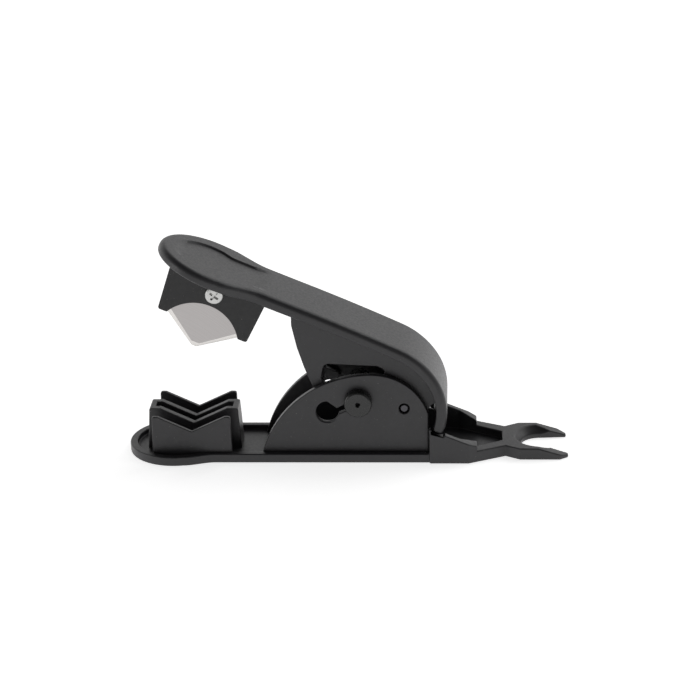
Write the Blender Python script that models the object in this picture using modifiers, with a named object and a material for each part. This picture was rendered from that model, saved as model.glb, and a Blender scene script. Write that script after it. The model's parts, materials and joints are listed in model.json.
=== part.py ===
"""Spring-opened flexible tube and wick cutter with a vee anvil and a slide lock.

Metres, +Z up. The base handle lies along X on the plane z = 0, nose at -X and
fork at +X, symmetric about y = 0. The lever group is modelled closed, with its
top level, and then turned open about the pivot by OPEN_ANGLE.
"""
import math

import bmesh
import bpy
from mathutils import Matrix, Vector

MM = 0.001
GAP = 0.3 * MM                       # clearance kept between separate pieces

# driving dimensions
HALF_LENGTH = 61.7 * MM              # nose to fork tip is twice this
NOSE_R = 13.6 * MM
NOSE_X = NOSE_R - HALF_LENGTH
BASE_WAIST_X = -36.5 * MM             # the nose has eased into the sides here
BURIED_Z = 0.6 * MM                  # foot of the plates that stand in the pan's floor
CUT_REACH = 16 * MM                  # cutters run past the sides by this half width
BODY_HALF = 11.2 * MM                # half width of the base between nose and tail
RIM_TOP = 2.65 * MM
RIM_WIDTH = 2.1 * MM
PAN_FLOOR = 1.25 * MM

CHEEK_OUT = 9.0 * MM                 # outer face of the two arched cheeks
CHEEK_T = 2.0 * MM
CHEEK_TOP = 25.4 * MM
CHEEK_CROWN_X = 7.2 * MM
CHEEK_FRONT_R = 31.7 * MM
CHEEK_REAR_R = 16.4 * MM
CHEEK_REAR_X = 22.9 * MM

TAIL_HALF = 11.84 * MM
TAIL_FRONT_X = 23.2 * MM
TAIL_CORNER_X = 34.1 * MM
TAIL_END_X = 36.4 * MM
TAIL_WALL_T = 2.0 * MM
TAIL_TOP_FRONT = 10.3 * MM
TAIL_SLOPE = -0.41                   # rise over run of the tail walls' top
PAN_CORNER_X = 31.5 * MM             # the pocket in the tail narrows from here
PAN_END_X = 43.5 * MM
PAN_END_HALF = 2.9 * MM
LEVER_SEAT = [(23.77 * MM, 14.0 * MM), (23.77 * MM, 9.05 * MM), (27.2 * MM, 8.1 * MM), (27.9 * MM, 9.4 * MM),
              (27.9 * MM, 14.0 * MM)]    # notch in the tail walls that stops the open lever

NECK_X = 44.3 * MM
NECK_HALF = 6.85 * MM
FORK_T = 3.4 * MM
FORK_ROOT_X = 48.2 * MM
FORK_HALF = 9.2 * MM
FORK_WEDGE_X = 53.3 * MM             # the prongs thin down from here to the tip
FORK_TIP_T = 0.9 * MM
FORK_SLOT_HALF = 5.6 * MM
FORK_SLOT_X = 48.8 * MM
FORK_MOUTH_HALF = 6.3 * MM
FORK_TIP_HALF = 7.5 * MM
FORK_BEVEL = 1.9 * MM
FORK_TIP_X = 59.4 * MM              # the tips are cut off at a slant from here

VEE_X = -42.95 * MM                  # middle of the vee anvil
VEE_VERTEX_Z = 8.8 * MM
VEE_TOP_Z = 13.2 * MM
VEE_HALF_MOUTH = 9.3 * MM
PLATE_HALF_TOP = 10.95 * MM
PLATE_HALF_FOOT = 11.2 * MM
PLATE_T = 1.25 * MM
PLATE_OUT = 9.76 * MM
BOX_HALF_TOP = 12.5 * MM
BOX_HALF_FOOT = 13.3 * MM
BOX_OUT = 3.47 * MM
BLADE_SLOT = 3.0 * MM
BLADE_SLOT_HALF = 10.9 * MM
BLADE_SLOT_FLOOR = 4.0 * MM

PIVOT = Vector((16.3 * MM, 0.0, 15.4 * MM))
PIVOT_PIN_R = 1.1 * MM
PIVOT_HOLE_R = 1.5 * MM
OPEN_ANGLE = math.radians(23.0)

LOCK_OPEN = (3.6 * MM, 17.6 * MM)    # lock pin centre, unlocked
LOCK_SHUT = (-5.0 * MM, 14.4 * MM)   # lock pin centre, locked
LOBE_R = 3.15 * MM
LOCK_NECK = 2.3 * MM
LOCK_PIN_R = 0.8 * MM
KNOB_R = 3.85 * MM
KNOB_T = 2.3 * MM
KNOB_HOLE_R = 0.65 * MM

# lever group, in the closed pose
LEVER_NOSE_R = 14.2 * MM
LEVER_NOSE_X = -48.5 * MM
LEVER_HALF = 11.2 * MM
LEVER_TOP_NOSE = 32.4 * MM
LEVER_LIP_NOSE = 29.7 * MM
LEVER_WAIST_X = -32.0 * MM
LEVER_END_X = 31.0 * MM
LEVER_FRONT_X = -63.5 * MM
LEVER_CEILING = 40 * MM
LEVER_T = 3.0 * MM
LEVER_UNDER = (-30.0 * MM, 29.05 * MM)    # the underside meets the thinner nose here
LEVER_TOP = [(LEVER_FRONT_X, LEVER_TOP_NOSE - 0.1 * MM), (-20.0 * MM, 32.3 * MM), (8.8 * MM, 31.7 * MM)]
LEVER_ROLLS = [(24.0 * MM, 32.0, 6), (18.5 * MM, 51.0, 9)]    # radius, degrees turned, facets
LEVER_ROLL_HEADING = -4.0                 # slope in degrees where the roll begins
SKIRT_OUT = 6.6 * MM
SKIRT_T = 1.8 * MM
HUB_R = 6.6 * MM
HUB_SPAN = (170.0, 370.0)
SKIRT_LEG = [(-23.3 * MM, 30.0 * MM), (-21.2 * MM, 25.1 * MM), (-17.4 * MM, 19.7 * MM),
             (-13.4 * MM, 15.0 * MM), (-9.8 * MM, 11.3 * MM)]
SKIRT_HOOK = [(-8.3 * MM, 10.2 * MM), (-3.2 * MM, 10.2 * MM), (-2.2 * MM, 11.2 * MM), (-2.2 * MM, 12.3 * MM),
        (-3.2 * MM, 13.0 * MM), (-6.6 * MM, 13.0 * MM), (-8.0 * MM, 14.0 * MM)]
SKIRT_WINDOW = [(-8.7 * MM, 15.6 * MM), (-8.8 * MM, 16.8 * MM), (-8.3 * MM, 17.8 * MM), (-7.3 * MM, 18.4 * MM),
          (5.0 * MM, 23.2 * MM), (6.6 * MM, 23.0 * MM), (7.6 * MM, 21.8 * MM), (8.0 * MM, 20.0 * MM)]
SKIRT_REAR = [(23.3 * MM, 18.4 * MM), (24.6 * MM, 20.2 * MM), (22.0 * MM, 24.5 * MM), (15.0 * MM, 28.5 * MM),
        (4.0 * MM, 30.0 * MM)]

HOLDER_X = -43.72 * MM
HOLDER_FOOT_Z = 14.3 * MM
HOLDER_HALF_FOOT = 13.1 * MM
HOLDER_HALF_TOP = 14.2 * MM
HOLDER_OUT = 3.0 * MM
HOLDER_ARC_R = 11.9 * MM
HOLDER_ARC_Z = 8.6 * MM
BLADE_T = 0.9 * MM
BLADE_TIP_Z = 6.7 * MM
BLADE_SHOULDER_Z = 13.6 * MM
BLADE_HALF = 10.35 * MM
BLADE_TIP_HALF = 0.75 * MM
BLADE_BACK_Z = 26.4 * MM
BLADE_EDGE = 1.3 * MM
SCREW_Z = 24.2 * MM
SCREW_HEAD_R = 2.5 * MM
SCREW_R = 1.25 * MM
NUT_R = 2.75 * MM

SPRING_R = 3.3 * MM
SPRING_WIRE = 0.8 * MM
SPRING_TURNS = 4
SPRING_LEG = 11.0 * MM
BUSH_R = 2.4 * MM

for old in list(bpy.data.objects):
    bpy.data.objects.remove(old, do_unlink=True)


def new_collection(name):
    made = bpy.data.collections.new(name)
    bpy.context.scene.collection.children.link(made)
    return made


PARTS = new_collection("tube_cutter")
CUTTERS = new_collection("cutters")


def material(name, colour, roughness, metallic=0.0):
    made = bpy.data.materials.new(name)
    made.use_nodes = True
    shader = made.node_tree.nodes["Principled BSDF"]
    shader.inputs["Base Color"].default_value = (*colour, 1.0)
    shader.inputs["Roughness"].default_value = roughness
    shader.inputs["Metallic"].default_value = metallic
    return made


NYLON = material("black_nylon", (0.030, 0.030, 0.033), 0.45)
HOLDER_NYLON = material("holder_nylon", (0.018, 0.018, 0.020), 0.55)
KNOB_PLASTIC = material("knob_plastic", (0.020, 0.021, 0.021), 0.35)
BLADE_STEEL = material("blade_steel", (0.62, 0.60, 0.58), 0.38, 1.0)
ZINC = material("zinc_plate", (0.80, 0.80, 0.80), 0.30, 1.0)
PIN_STEEL = material("pin_steel", (0.10, 0.10, 0.11), 0.40, 1.0)
SPRING_STEEL = material("spring_steel", (0.45, 0.45, 0.46), 0.35, 1.0)


# ---------------------------------------------------------------- outlines
def arc(centre, radius, start, end, count):
    """Points on a circle from one angle to another, in degrees."""
    points = []
    for step in range(count + 1):
        angle = math.radians(start + (end - start) * step / count)
        points.append((centre[0] + radius * math.cos(angle), centre[1] + radius * math.sin(angle)))
    return points


def disc(centre, radius, count=24):
    return arc(centre, radius, 0.0, 360.0 - 360.0 / count, count - 1)


def mirrored(points):
    """A closed plan outline from its upper half, listed nose to tail."""
    return points + [(x, -y) for x, y in reversed(points) if abs(y) > 0.01 * MM]


def smooth_step(t):
    return t * t * (3.0 - 2.0 * t)


# ---------------------------------------------------------------- solids
def place(obj, collection, look):
    for owner in list(obj.users_collection):
        owner.objects.unlink(obj)
    collection.objects.link(obj)
    if look:
        obj.data.materials.clear()
        obj.data.materials.append(look)
    return obj


def prism(name, loops, low, high, plane):
    """Extrude flat outlines between two heights: plane XY along Z, or XZ along Y."""
    curve = bpy.data.curves.new(name, "CURVE")
    curve.dimensions = "2D"
    curve.fill_mode = "BOTH"
    curve.extrude = (high - low) / 2.0
    for loop in loops:
        spline = curve.splines.new("POLY")
        spline.points.add(len(loop) - 1)
        for point, (u, v) in zip(spline.points, loop):
            point.co = (u, v, 0.0, 1.0)
        spline.use_cyclic_u = True
    guide = bpy.data.objects.new(name, curve)
    middle = (low + high) / 2.0
    if plane == "XZ":
        guide.matrix_world = Matrix.Translation((0, middle, 0)) @ Matrix.Rotation(math.pi / 2, 4, "X")
    else:
        guide.matrix_world = Matrix.Translation((0, 0, middle))
    PARTS.objects.link(guide)
    bpy.context.view_layer.update()
    depsgraph = bpy.context.evaluated_depsgraph_get()
    mesh = bpy.data.meshes.new_from_object(guide.evaluated_get(depsgraph))
    mesh.transform(guide.matrix_world)
    bpy.data.objects.remove(guide)
    bm = bmesh.new()
    bm.from_mesh(mesh)
    bmesh.ops.remove_doubles(bm, verts=bm.verts, dist=0.001 * MM)
    bmesh.ops.recalc_face_normals(bm, faces=bm.faces)
    bm.to_mesh(mesh)
    bm.free()
    return place(bpy.data.objects.new(name, mesh), PARTS, None)


def round_bar(name, radius, low, high, at, count=24):
    """A cylinder along Y between two levels, on the centre (x, z)."""
    bm = bmesh.new()
    bmesh.ops.create_cone(bm, cap_ends=True, segments=count, radius1=radius, radius2=radius,
                          depth=high - low)
    mesh = bpy.data.meshes.new(name)
    bmesh.ops.rotate(bm, verts=bm.verts, matrix=Matrix.Rotation(math.pi / 2, 3, "X"))
    bmesh.ops.translate(bm, verts=bm.verts, vec=(at[0], (low + high) / 2.0, at[1]))
    bm.to_mesh(mesh)
    bm.free()
    return place(bpy.data.objects.new(name, mesh), PARTS, None)


def combine(target, other, operation):
    """Apply an exact Boolean and keep the tool, if it is a cutter, with the guides."""
    step = target.modifiers.new(operation.lower(), "BOOLEAN")
    step.operation = operation
    step.solver = "EXACT"
    step.object = other
    bpy.context.view_layer.update()
    depsgraph = bpy.context.evaluated_depsgraph_get()
    result = bpy.data.meshes.new_from_object(target.evaluated_get(depsgraph))
    target.modifiers.remove(step)
    target.data = result
    if operation == "DIFFERENCE":
        place(other, CUTTERS, None)
        other.hide_render = True
        other.display_type = "WIRE"
    else:
        bpy.data.objects.remove(other)
    return target


def add(target, *others):
    for other in others:
        combine(target, other, "UNION")
    return target


def cut(target, *others):
    for other in others:
        combine(target, other, "DIFFERENCE")
    return target


def finish(obj, look, origin=Vector((0, 0, 0)), parent=None):
    """Shade, colour and put the origin of a finished piece where it belongs."""
    obj.data.materials.clear()
    obj.data.materials.append(look)
    obj.data.transform(Matrix.Translation(-origin))
    obj.data.shade_smooth()
    obj.data.set_sharp_from_angle(angle=math.radians(35))
    if parent:
        obj.parent = parent
    else:
        obj.location = origin
    return obj


# ---------------------------------------------------------------- base handle
def nose_outline(radius, nose_x, half, waist_x, count=14):
    """Upper half of a paddle: a round nose that eases into straight sides at waist_x."""
    leave = 78.0
    points = arc((nose_x, 0.0), radius, 180.0, leave, count)
    start = points[-1]
    steps = 8
    for step in range(1, steps + 1):
        t = step / steps
        points.append((start[0] + (waist_x - start[0]) * t,
                       start[1] + (half - start[1]) * smooth_step(t)))
    return points


def base_outline():
    """Upper half of the whole base seen from above: nose, sides, tail, neck and fork."""
    sides = [(TAIL_FRONT_X, BODY_HALF), (TAIL_FRONT_X, TAIL_HALF), (TAIL_CORNER_X, TAIL_HALF)]
    fork = [(NECK_X, NECK_HALF), (FORK_ROOT_X, FORK_HALF), (FORK_TIP_X, FORK_HALF), (HALF_LENGTH, FORK_TIP_HALF)]
    return nose_outline(NOSE_R, NOSE_X, BODY_HALF, BASE_WAIST_X) + sides + fork


def pan_outline():
    """Upper half of the shallow pan that runs from the nose to the neck."""
    inner = BODY_HALF - RIM_WIDTH
    tail_inner = TAIL_HALF - TAIL_WALL_T
    tail = [(TAIL_FRONT_X - 1 * MM, inner), (TAIL_FRONT_X - 1 * MM, tail_inner), (PAN_CORNER_X, tail_inner),
            (PAN_END_X, PAN_END_HALF)]
    return nose_outline(NOSE_R - RIM_WIDTH, NOSE_X, inner, BASE_WAIST_X) + tail


def base_plate():
    """One slab with the outline of the base, stepped along its length, with the pan cut in."""
    ceiling = TAIL_TOP_FRONT + 2 * MM
    beyond = HALF_LENGTH + 2 * MM
    plate = prism("base_handle", [mirrored(base_outline())], 0.0, TAIL_TOP_FRONT + 0.5 * MM, "XY")
    wall_end_z = TAIL_TOP_FRONT + TAIL_SLOPE * (TAIL_END_X - TAIL_FRONT_X)
    steps = [(-beyond, RIM_TOP), (TAIL_FRONT_X, RIM_TOP), (TAIL_FRONT_X, TAIL_TOP_FRONT),
             (TAIL_END_X, wall_end_z), (TAIL_END_X, FORK_T), (FORK_WEDGE_X, FORK_T), (HALF_LENGTH, FORK_TIP_T),
             (beyond, FORK_TIP_T), (beyond, ceiling), (-beyond, ceiling)]
    cut(plate, prism("step_cut", [steps], -CUT_REACH, CUT_REACH, "XZ"))
    cut(plate, prism("pan_cut", [mirrored(pan_outline())], PAN_FLOOR, ceiling, "XY"))
    return plate


def fork_cuts(tail):
    """The collet slot and its bevelled mouth."""
    centre_x = FORK_SLOT_X + FORK_SLOT_HALF
    slot = arc((centre_x, 0.0), FORK_SLOT_HALF, 90.0, 270.0, 16)
    slot = [(HALF_LENGTH + 1 * MM, FORK_MOUTH_HALF)] + slot + [(HALF_LENGTH + 1 * MM, -FORK_MOUTH_HALF)]
    cut(tail, prism("fork_slot_cut", [slot], -1 * MM, FORK_T + 1 * MM, "XY"))
    over = 0.1 * MM
    cone = bmesh.new()
    bmesh.ops.create_cone(cone, cap_ends=True, segments=32, radius1=FORK_SLOT_HALF - over,
                          radius2=FORK_SLOT_HALF + FORK_BEVEL + over, depth=FORK_BEVEL + 2 * over)
    bmesh.ops.translate(cone, verts=cone.verts, vec=(centre_x, 0.0, FORK_T - FORK_BEVEL / 2.0))
    mesh = bpy.data.meshes.new("fork_bevel_cut")
    cone.to_mesh(mesh)
    cone.free()
    cut(tail, place(bpy.data.objects.new("fork_bevel_cut", mesh), PARTS, None))
    return tail


def cheek_outline():
    front_centre = (CHEEK_CROWN_X, CHEEK_TOP - CHEEK_FRONT_R)
    rear_centre = (CHEEK_CROWN_X, CHEEK_TOP - CHEEK_REAR_R)
    toe_angle = 180.0 - math.degrees(math.asin((BURIED_Z - front_centre[1]) / CHEEK_FRONT_R))
    heel_angle = math.degrees(math.acos((CHEEK_REAR_X - CHEEK_CROWN_X) / CHEEK_REAR_R))
    outline = arc(front_centre, CHEEK_FRONT_R, toe_angle, 90.0, 18)
    outline += arc(rear_centre, CHEEK_REAR_R, 90.0, heel_angle, 12)[1:]
    return outline + [(CHEEK_REAR_X, BURIED_Z)]


def lock_slot_outline():
    """Two round lobes joined by a narrow neck, along the line that the lock pin slides on."""
    ax, az = LOCK_SHUT
    bx, bz = LOCK_OPEN
    tilt = math.degrees(math.atan2(bz - az, bx - ax))
    open_half = math.degrees(math.asin(LOCK_NECK / 2.0 / LOBE_R))
    first = arc((ax, az), LOBE_R, tilt + open_half, tilt + 360.0 - open_half, 20)
    second = arc((bx, bz), LOBE_R, tilt - 180.0 + open_half, tilt + 180.0 - open_half, 20)
    return first + second


def cheeks():
    made = []
    for side, low in (("front", -CHEEK_OUT), ("rear", CHEEK_OUT - CHEEK_T)):
        hole = disc((PIVOT.x, PIVOT.z), PIVOT_HOLE_R, 20)
        loops = [cheek_outline(), lock_slot_outline(), hole]
        made.append(prism("cheek_" + side, loops, low, low + CHEEK_T, "XZ"))
    return made


def vee_profile(half_top, half_foot):
    return [(VEE_X - half_foot, BURIED_Z), (VEE_X + half_foot, BURIED_Z), (VEE_X + half_top, VEE_TOP_Z),
            (VEE_X + VEE_HALF_MOUTH, VEE_TOP_Z), (VEE_X, VEE_VERTEX_Z),
            (VEE_X - VEE_HALF_MOUTH, VEE_TOP_Z), (VEE_X - half_top, VEE_TOP_Z)]


def vee_anvil():
    """Four notched plates: one on each side, and a centre pair closed at its ends by a slot."""
    block = prism("vee_block", [vee_profile(BOX_HALF_TOP, BOX_HALF_FOOT)], -BOX_OUT, BOX_OUT, "XZ")
    half = BLADE_SLOT / 2.0
    x0, x1 = VEE_X - BLADE_SLOT_HALF, VEE_X + BLADE_SLOT_HALF
    slot = [(x0, -half), (x1, -half), (x1, half), (x0, half)]
    cut(block, prism("blade_slot_cut", [slot], BLADE_SLOT_FLOOR, VEE_TOP_Z + 1 * MM, "XY"))
    outline = vee_profile(PLATE_HALF_TOP, PLATE_HALF_FOOT)
    plates = [prism("vee_plate", [outline], low, low + PLATE_T, "XZ") for low in (-PLATE_OUT, PLATE_OUT - PLATE_T)]
    return [block] + plates


def base_handle():
    base = fork_cuts(base_plate())
    add(base, *cheeks(), *vee_anvil())
    cut(base, prism("lever_seat_cut", [LEVER_SEAT], -CUT_REACH, CUT_REACH, "XZ"))
    return finish(base, NYLON)


# ---------------------------------------------------------------- lever group
def lever_spine():
    """Top line of the lever: nearly straight from the nose, then rolling down behind the pivot."""
    top = list(LEVER_TOP)
    position = Vector(top[-1])
    heading = LEVER_ROLL_HEADING
    for radius, turn, steps in LEVER_ROLLS:
        for _ in range(steps):
            part = turn / steps
            chord = 2.0 * radius * math.sin(math.radians(part / 2.0))
            heading -= part / 2.0
            position += Vector((math.cos(math.radians(heading)), math.sin(math.radians(heading)))) * chord
            heading -= part / 2.0
            top.append((position.x, position.y))
    return top


def lever_profile(thickness):
    """Side outline of the lever's shell, a band under its top line."""
    top = lever_spine()
    under = []
    for index in range(2, len(top)):
        a = Vector(top[index - 1])
        b = Vector(top[min(index + 1, len(top) - 1)])
        along = (b - a).normalized()
        under.append((top[index][0] + along.y * thickness, top[index][1] - along.x * thickness))
    under.insert(0, LEVER_UNDER)
    under.insert(0, (LEVER_FRONT_X, LEVER_LIP_NOSE))
    return top + list(reversed(under))


def skirt_outline():
    """A side wall inside the lever: hooked front leg, lock window, hub and rear edge."""
    hub = arc((PIVOT.x, PIVOT.z), HUB_R, *HUB_SPAN, 18)
    return SKIRT_LEG + SKIRT_HOOK + SKIRT_WINDOW + hub + SKIRT_REAR


def lever_handle():
    plan = nose_outline(LEVER_NOSE_R, LEVER_NOSE_X, LEVER_HALF, LEVER_WAIST_X) + [(LEVER_END_X, LEVER_HALF)]
    lever = prism("lever_handle", [lever_profile(LEVER_T)], -CUT_REACH, CUT_REACH, "XZ")
    combine(lever, prism("lever_plan", [mirrored(plan)], 0.0, LEVER_CEILING, "XY"), "INTERSECT")
    for low in (-SKIRT_OUT, SKIRT_OUT - SKIRT_T):
        add(lever, prism("skirt", [skirt_outline()], low, low + SKIRT_T, "XZ"))
    cut(lever, round_bar("hub_cut", PIVOT_HOLE_R, -8 * MM, 8 * MM, (PIVOT.x, PIVOT.z), count=20))
    return lever


def holder_half(name, low, high):
    """One side of the blade holder: a trapezoid with a round mouth above the cutting edges."""
    top_z = 28.6 * MM
    corner = 0.8 * MM
    reach = math.degrees(math.asin((HOLDER_FOOT_Z - HOLDER_ARC_Z) / HOLDER_ARC_R))
    outline = [(HOLDER_X + HOLDER_HALF_TOP, top_z), (HOLDER_X - HOLDER_HALF_TOP, top_z),
               (HOLDER_X - HOLDER_HALF_FOOT, HOLDER_FOOT_Z + corner),
               (HOLDER_X - HOLDER_HALF_FOOT + corner, HOLDER_FOOT_Z)]
    outline += arc((HOLDER_X, HOLDER_ARC_Z), HOLDER_ARC_R, 180.0 - reach, reach, 20)
    outline += [(HOLDER_X + HOLDER_HALF_FOOT - corner, HOLDER_FOOT_Z),
                (HOLDER_X + HOLDER_HALF_FOOT, HOLDER_FOOT_Z + corner)]
    return prism(name, [outline], low, high, "XZ")


def blade_group():
    """Carrier and clamp plate on either side of the blade, with the screw and its nut."""
    inner = BLADE_T / 2.0 + GAP
    carrier = holder_half("blade_holder", inner, HOLDER_OUT)
    bridge = [(HOLDER_X - HOLDER_HALF_TOP + 0.3 * MM, 26.8 * MM), (HOLDER_X + HOLDER_HALF_TOP - 0.3 * MM, 26.8 * MM),
              (HOLDER_X + HOLDER_HALF_TOP, 28.6 * MM), (HOLDER_X - HOLDER_HALF_TOP, 28.6 * MM)]
    add(carrier, prism("bridge", [bridge], -BLADE_T / 2.0, inner, "XZ"))
    clamp = holder_half("blade_clamp", -HOLDER_OUT, -inner)
    shank_hole = SCREW_R + GAP
    cut(carrier, round_bar("carrier_hole_cut", shank_hole, 0.0, 4 * MM, (HOLDER_X, SCREW_Z), count=16),
        round_bar("nut_pocket_cut", NUT_R + GAP, 1.5 * MM, 4 * MM, (HOLDER_X, SCREW_Z), count=6))
    cut(clamp, round_bar("clamp_hole_cut", shank_hole, -4 * MM, 0.0, (HOLDER_X, SCREW_Z), count=16))
    return carrier, clamp


def blade():
    slope = (BLADE_SHOULDER_Z - BLADE_TIP_Z) / (BLADE_HALF - BLADE_TIP_HALF)
    outline = [(HOLDER_X - BLADE_HALF, BLADE_BACK_Z), (HOLDER_X - BLADE_HALF, BLADE_SHOULDER_Z),
               (HOLDER_X - BLADE_TIP_HALF, BLADE_TIP_Z), (HOLDER_X + BLADE_TIP_HALF, BLADE_TIP_Z),
               (HOLDER_X + BLADE_HALF, BLADE_SHOULDER_Z), (HOLDER_X + BLADE_HALF, BLADE_BACK_Z)]
    hole = disc((HOLDER_X, SCREW_Z), SCREW_R + GAP, 16)
    made = prism("blade", [outline, hole], -BLADE_T / 2.0, BLADE_T / 2.0, "XZ")
    tilt = math.atan(slope)
    for face in (1, -1):
        for side in (1, -1):
            ground = bmesh.new()
            bmesh.ops.create_cube(ground, size=1.0)
            bmesh.ops.scale(ground, verts=ground.verts, vec=(26 * MM, 1 * MM, 6 * MM))
            lean = math.atan(0.8 * (BLADE_T / 2.0) / BLADE_EDGE)
            shift = Matrix.Translation((0.0, face * (BLADE_T / 2.0 + 0.5 * MM), BLADE_EDGE - 3.0 * MM))
            hinge = Matrix.Translation((0.0, face * BLADE_T / 2.0, BLADE_EDGE))
            turn = hinge @ Matrix.Rotation(-face * lean, 4, "X") @ hinge.inverted()
            edge = Matrix.Translation((HOLDER_X + side * BLADE_TIP_HALF, 0.0, BLADE_TIP_Z))
            lie = Matrix.Rotation(-side * tilt, 4, "Y")
            along = Matrix.Translation((side * 10 * MM, 0.0, 0.0))
            bmesh.ops.transform(ground, verts=ground.verts, matrix=edge @ lie @ along @ turn @ shift)
            mesh = bpy.data.meshes.new("edge_cut")
            ground.to_mesh(mesh)
            ground.free()
            cut(made, place(bpy.data.objects.new("edge_cut", mesh), PARTS, None))
    return made


def blade_screw():
    """Pan head on the front face, shank through the blade into the nut behind."""
    face = -HOLDER_OUT - GAP
    screw = round_bar("blade_screw", SCREW_HEAD_R, face - 1.1 * MM, face, (HOLDER_X, SCREW_Z))
    add(screw, round_bar("shank", SCREW_R, face - 0.1 * MM, 3.0 * MM, (HOLDER_X, SCREW_Z), count=16))
    arm, width = 1.35 * MM, 0.3 * MM
    top = face - 2 * MM
    for u, v in ((arm, width), (width, arm)):
        recess = [(HOLDER_X - u, SCREW_Z - v), (HOLDER_X + u, SCREW_Z - v),
                  (HOLDER_X + u, SCREW_Z + v), (HOLDER_X - u, SCREW_Z + v)]
        cut(screw, prism("cross_cut", [recess], top, face - 0.3 * MM, "XZ"))
    return screw


def blade_nut():
    nut = round_bar("blade_nut", NUT_R, 1.9 * MM, 3.7 * MM, (HOLDER_X, SCREW_Z), count=6)
    return cut(nut, round_bar("nut_hole_cut", SCREW_R + GAP, 1 * MM, 4 * MM, (HOLDER_X, SCREW_Z), count=16))


def spring_coil():
    """Torsion spring round the bush, one leg on the pan floor and one under the lever."""
    curve = bpy.data.curves.new("torsion_spring", "CURVE")
    curve.dimensions = "3D"
    curve.bevel_depth = SPRING_WIRE / 2.0
    curve.bevel_resolution = 1
    curve.use_fill_caps = True
    start = math.radians(315.0)
    total = 2.0 * math.pi * SPRING_TURNS + math.radians(105.0)
    span = (SPRING_TURNS + 0.3) * (SPRING_WIRE + 0.25 * MM)
    count = 14 * SPRING_TURNS + 4
    points = []
    for step in range(count + 1):
        t = step / count
        angle = start + total * t
        points.append((PIVOT.x + SPRING_R * math.cos(angle), span * (t - 0.5),
                       PIVOT.z + SPRING_R * math.sin(angle)))
    down = Vector((math.sin(start), 0.0, -math.cos(start)))
    drop = points[0][2] - PAN_FLOOR - SPRING_WIRE / 2.0 - GAP
    points.insert(0, tuple(Vector(points[0]) + down * (drop / abs(down.z))))
    end = start + total
    along = Vector((-math.sin(end), 0.0, math.cos(end)))
    points.append(tuple(Vector(points[-1]) + along * SPRING_LEG))
    spline = curve.splines.new("POLY")
    spline.points.add(len(points) - 1)
    for point, place_at in zip(spline.points, points):
        point.co = (*place_at, 1.0)
    spring = bpy.data.objects.new("torsion_spring", curve)
    PARTS.objects.link(spring)
    spring.data.materials.append(SPRING_STEEL)
    return spring


# ---------------------------------------------------------------- pins and lock
def pivot_parts():
    reach = CHEEK_OUT - 0.25 * MM
    pin = round_bar("pivot_pin", PIVOT_PIN_R, -reach, reach, (PIVOT.x, PIVOT.z), count=20)
    finish(pin, PIN_STEEL, PIVOT)
    half = SKIRT_OUT - SKIRT_T - GAP
    bush = round_bar("spring_bush", BUSH_R, -half, half, (PIVOT.x, PIVOT.z), count=20)
    cut(bush, round_bar("bush_cut", PIVOT_HOLE_R, -half - 1 * MM, half + 1 * MM, (PIVOT.x, PIVOT.z), count=20))
    finish(bush, KNOB_PLASTIC, PIVOT)


def knob(name, side):
    """A round button with a rounded rim, held off the cheek, bored for the lock pin."""
    back = CHEEK_OUT + 0.45 * MM
    edge = 0.7 * MM
    profile = [(KNOB_HOLE_R, KNOB_T), (KNOB_R - edge, KNOB_T), (KNOB_R - 0.2 * MM, KNOB_T - 0.25 * MM),
               (KNOB_R, KNOB_T - edge), (KNOB_R, 0.0), (LOCK_PIN_R + GAP, 0.0),
               (LOCK_PIN_R + GAP, KNOB_T - 0.8 * MM), (KNOB_HOLE_R, KNOB_T - 0.8 * MM)]
    mesh = bpy.data.meshes.new(name)
    bm = bmesh.new()
    ring = [bm.verts.new((radius, 0.0, height)) for radius, height in profile]
    for index in range(len(ring)):
        bm.edges.new((ring[index], ring[(index + 1) % len(ring)]))
    bm.to_mesh(mesh)
    bm.free()
    turned = place(bpy.data.objects.new(name, mesh), PARTS, None)
    screw = turned.modifiers.new("turn", "SCREW")
    screw.steps = 28
    screw.render_steps = 28
    screw.use_merge_vertices = True
    screw.merge_threshold = 0.001 * MM
    bpy.context.view_layer.update()
    depsgraph = bpy.context.evaluated_depsgraph_get()
    solid = bpy.data.meshes.new_from_object(turned.evaluated_get(depsgraph))
    turned.modifiers.clear()
    turned.data = solid
    stand = Matrix.Rotation(math.pi / 2, 4, "X") if side < 0 else Matrix.Rotation(-math.pi / 2, 4, "X")
    solid.transform(Matrix.Translation((LOCK_OPEN[0], side * back, LOCK_OPEN[1])) @ stand)
    fixed = bmesh.new()
    fixed.from_mesh(solid)
    bmesh.ops.remove_doubles(fixed, verts=fixed.verts, dist=0.001 * MM)
    bmesh.ops.recalc_face_normals(fixed, faces=fixed.faces)
    fixed.to_mesh(solid)
    fixed.free()
    return finish(turned, KNOB_PLASTIC, Vector((LOCK_OPEN[0], 0.0, LOCK_OPEN[1])))


def lock_parts():
    reach = CHEEK_OUT + 0.45 * MM + KNOB_T - 0.8 * MM - GAP
    pin = round_bar("lock_pin", LOCK_PIN_R, -reach, reach, LOCK_OPEN, count=16)
    finish(pin, PIN_STEEL, Vector((LOCK_OPEN[0], 0.0, LOCK_OPEN[1])))
    knob("lock_knob_front", -1)
    knob("lock_knob_rear", 1)


def main():
    base_handle()
    hinge = bpy.data.objects.new("lever_hinge", None)
    PARTS.objects.link(hinge)
    hinge.location = PIVOT
    hinge.rotation_euler = (0.0, OPEN_ANGLE, 0.0)
    finish(lever_handle(), NYLON, PIVOT, hinge)
    carrier, clamp = blade_group()
    finish(carrier, HOLDER_NYLON, PIVOT, hinge)
    finish(clamp, HOLDER_NYLON, PIVOT, hinge)
    finish(blade(), BLADE_STEEL, PIVOT, hinge)
    finish(blade_screw(), ZINC, PIVOT, hinge)
    finish(blade_nut(), ZINC, PIVOT, hinge)
    pivot_parts()
    spring_coil()
    lock_parts()


main()
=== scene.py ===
import json
import math

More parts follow.
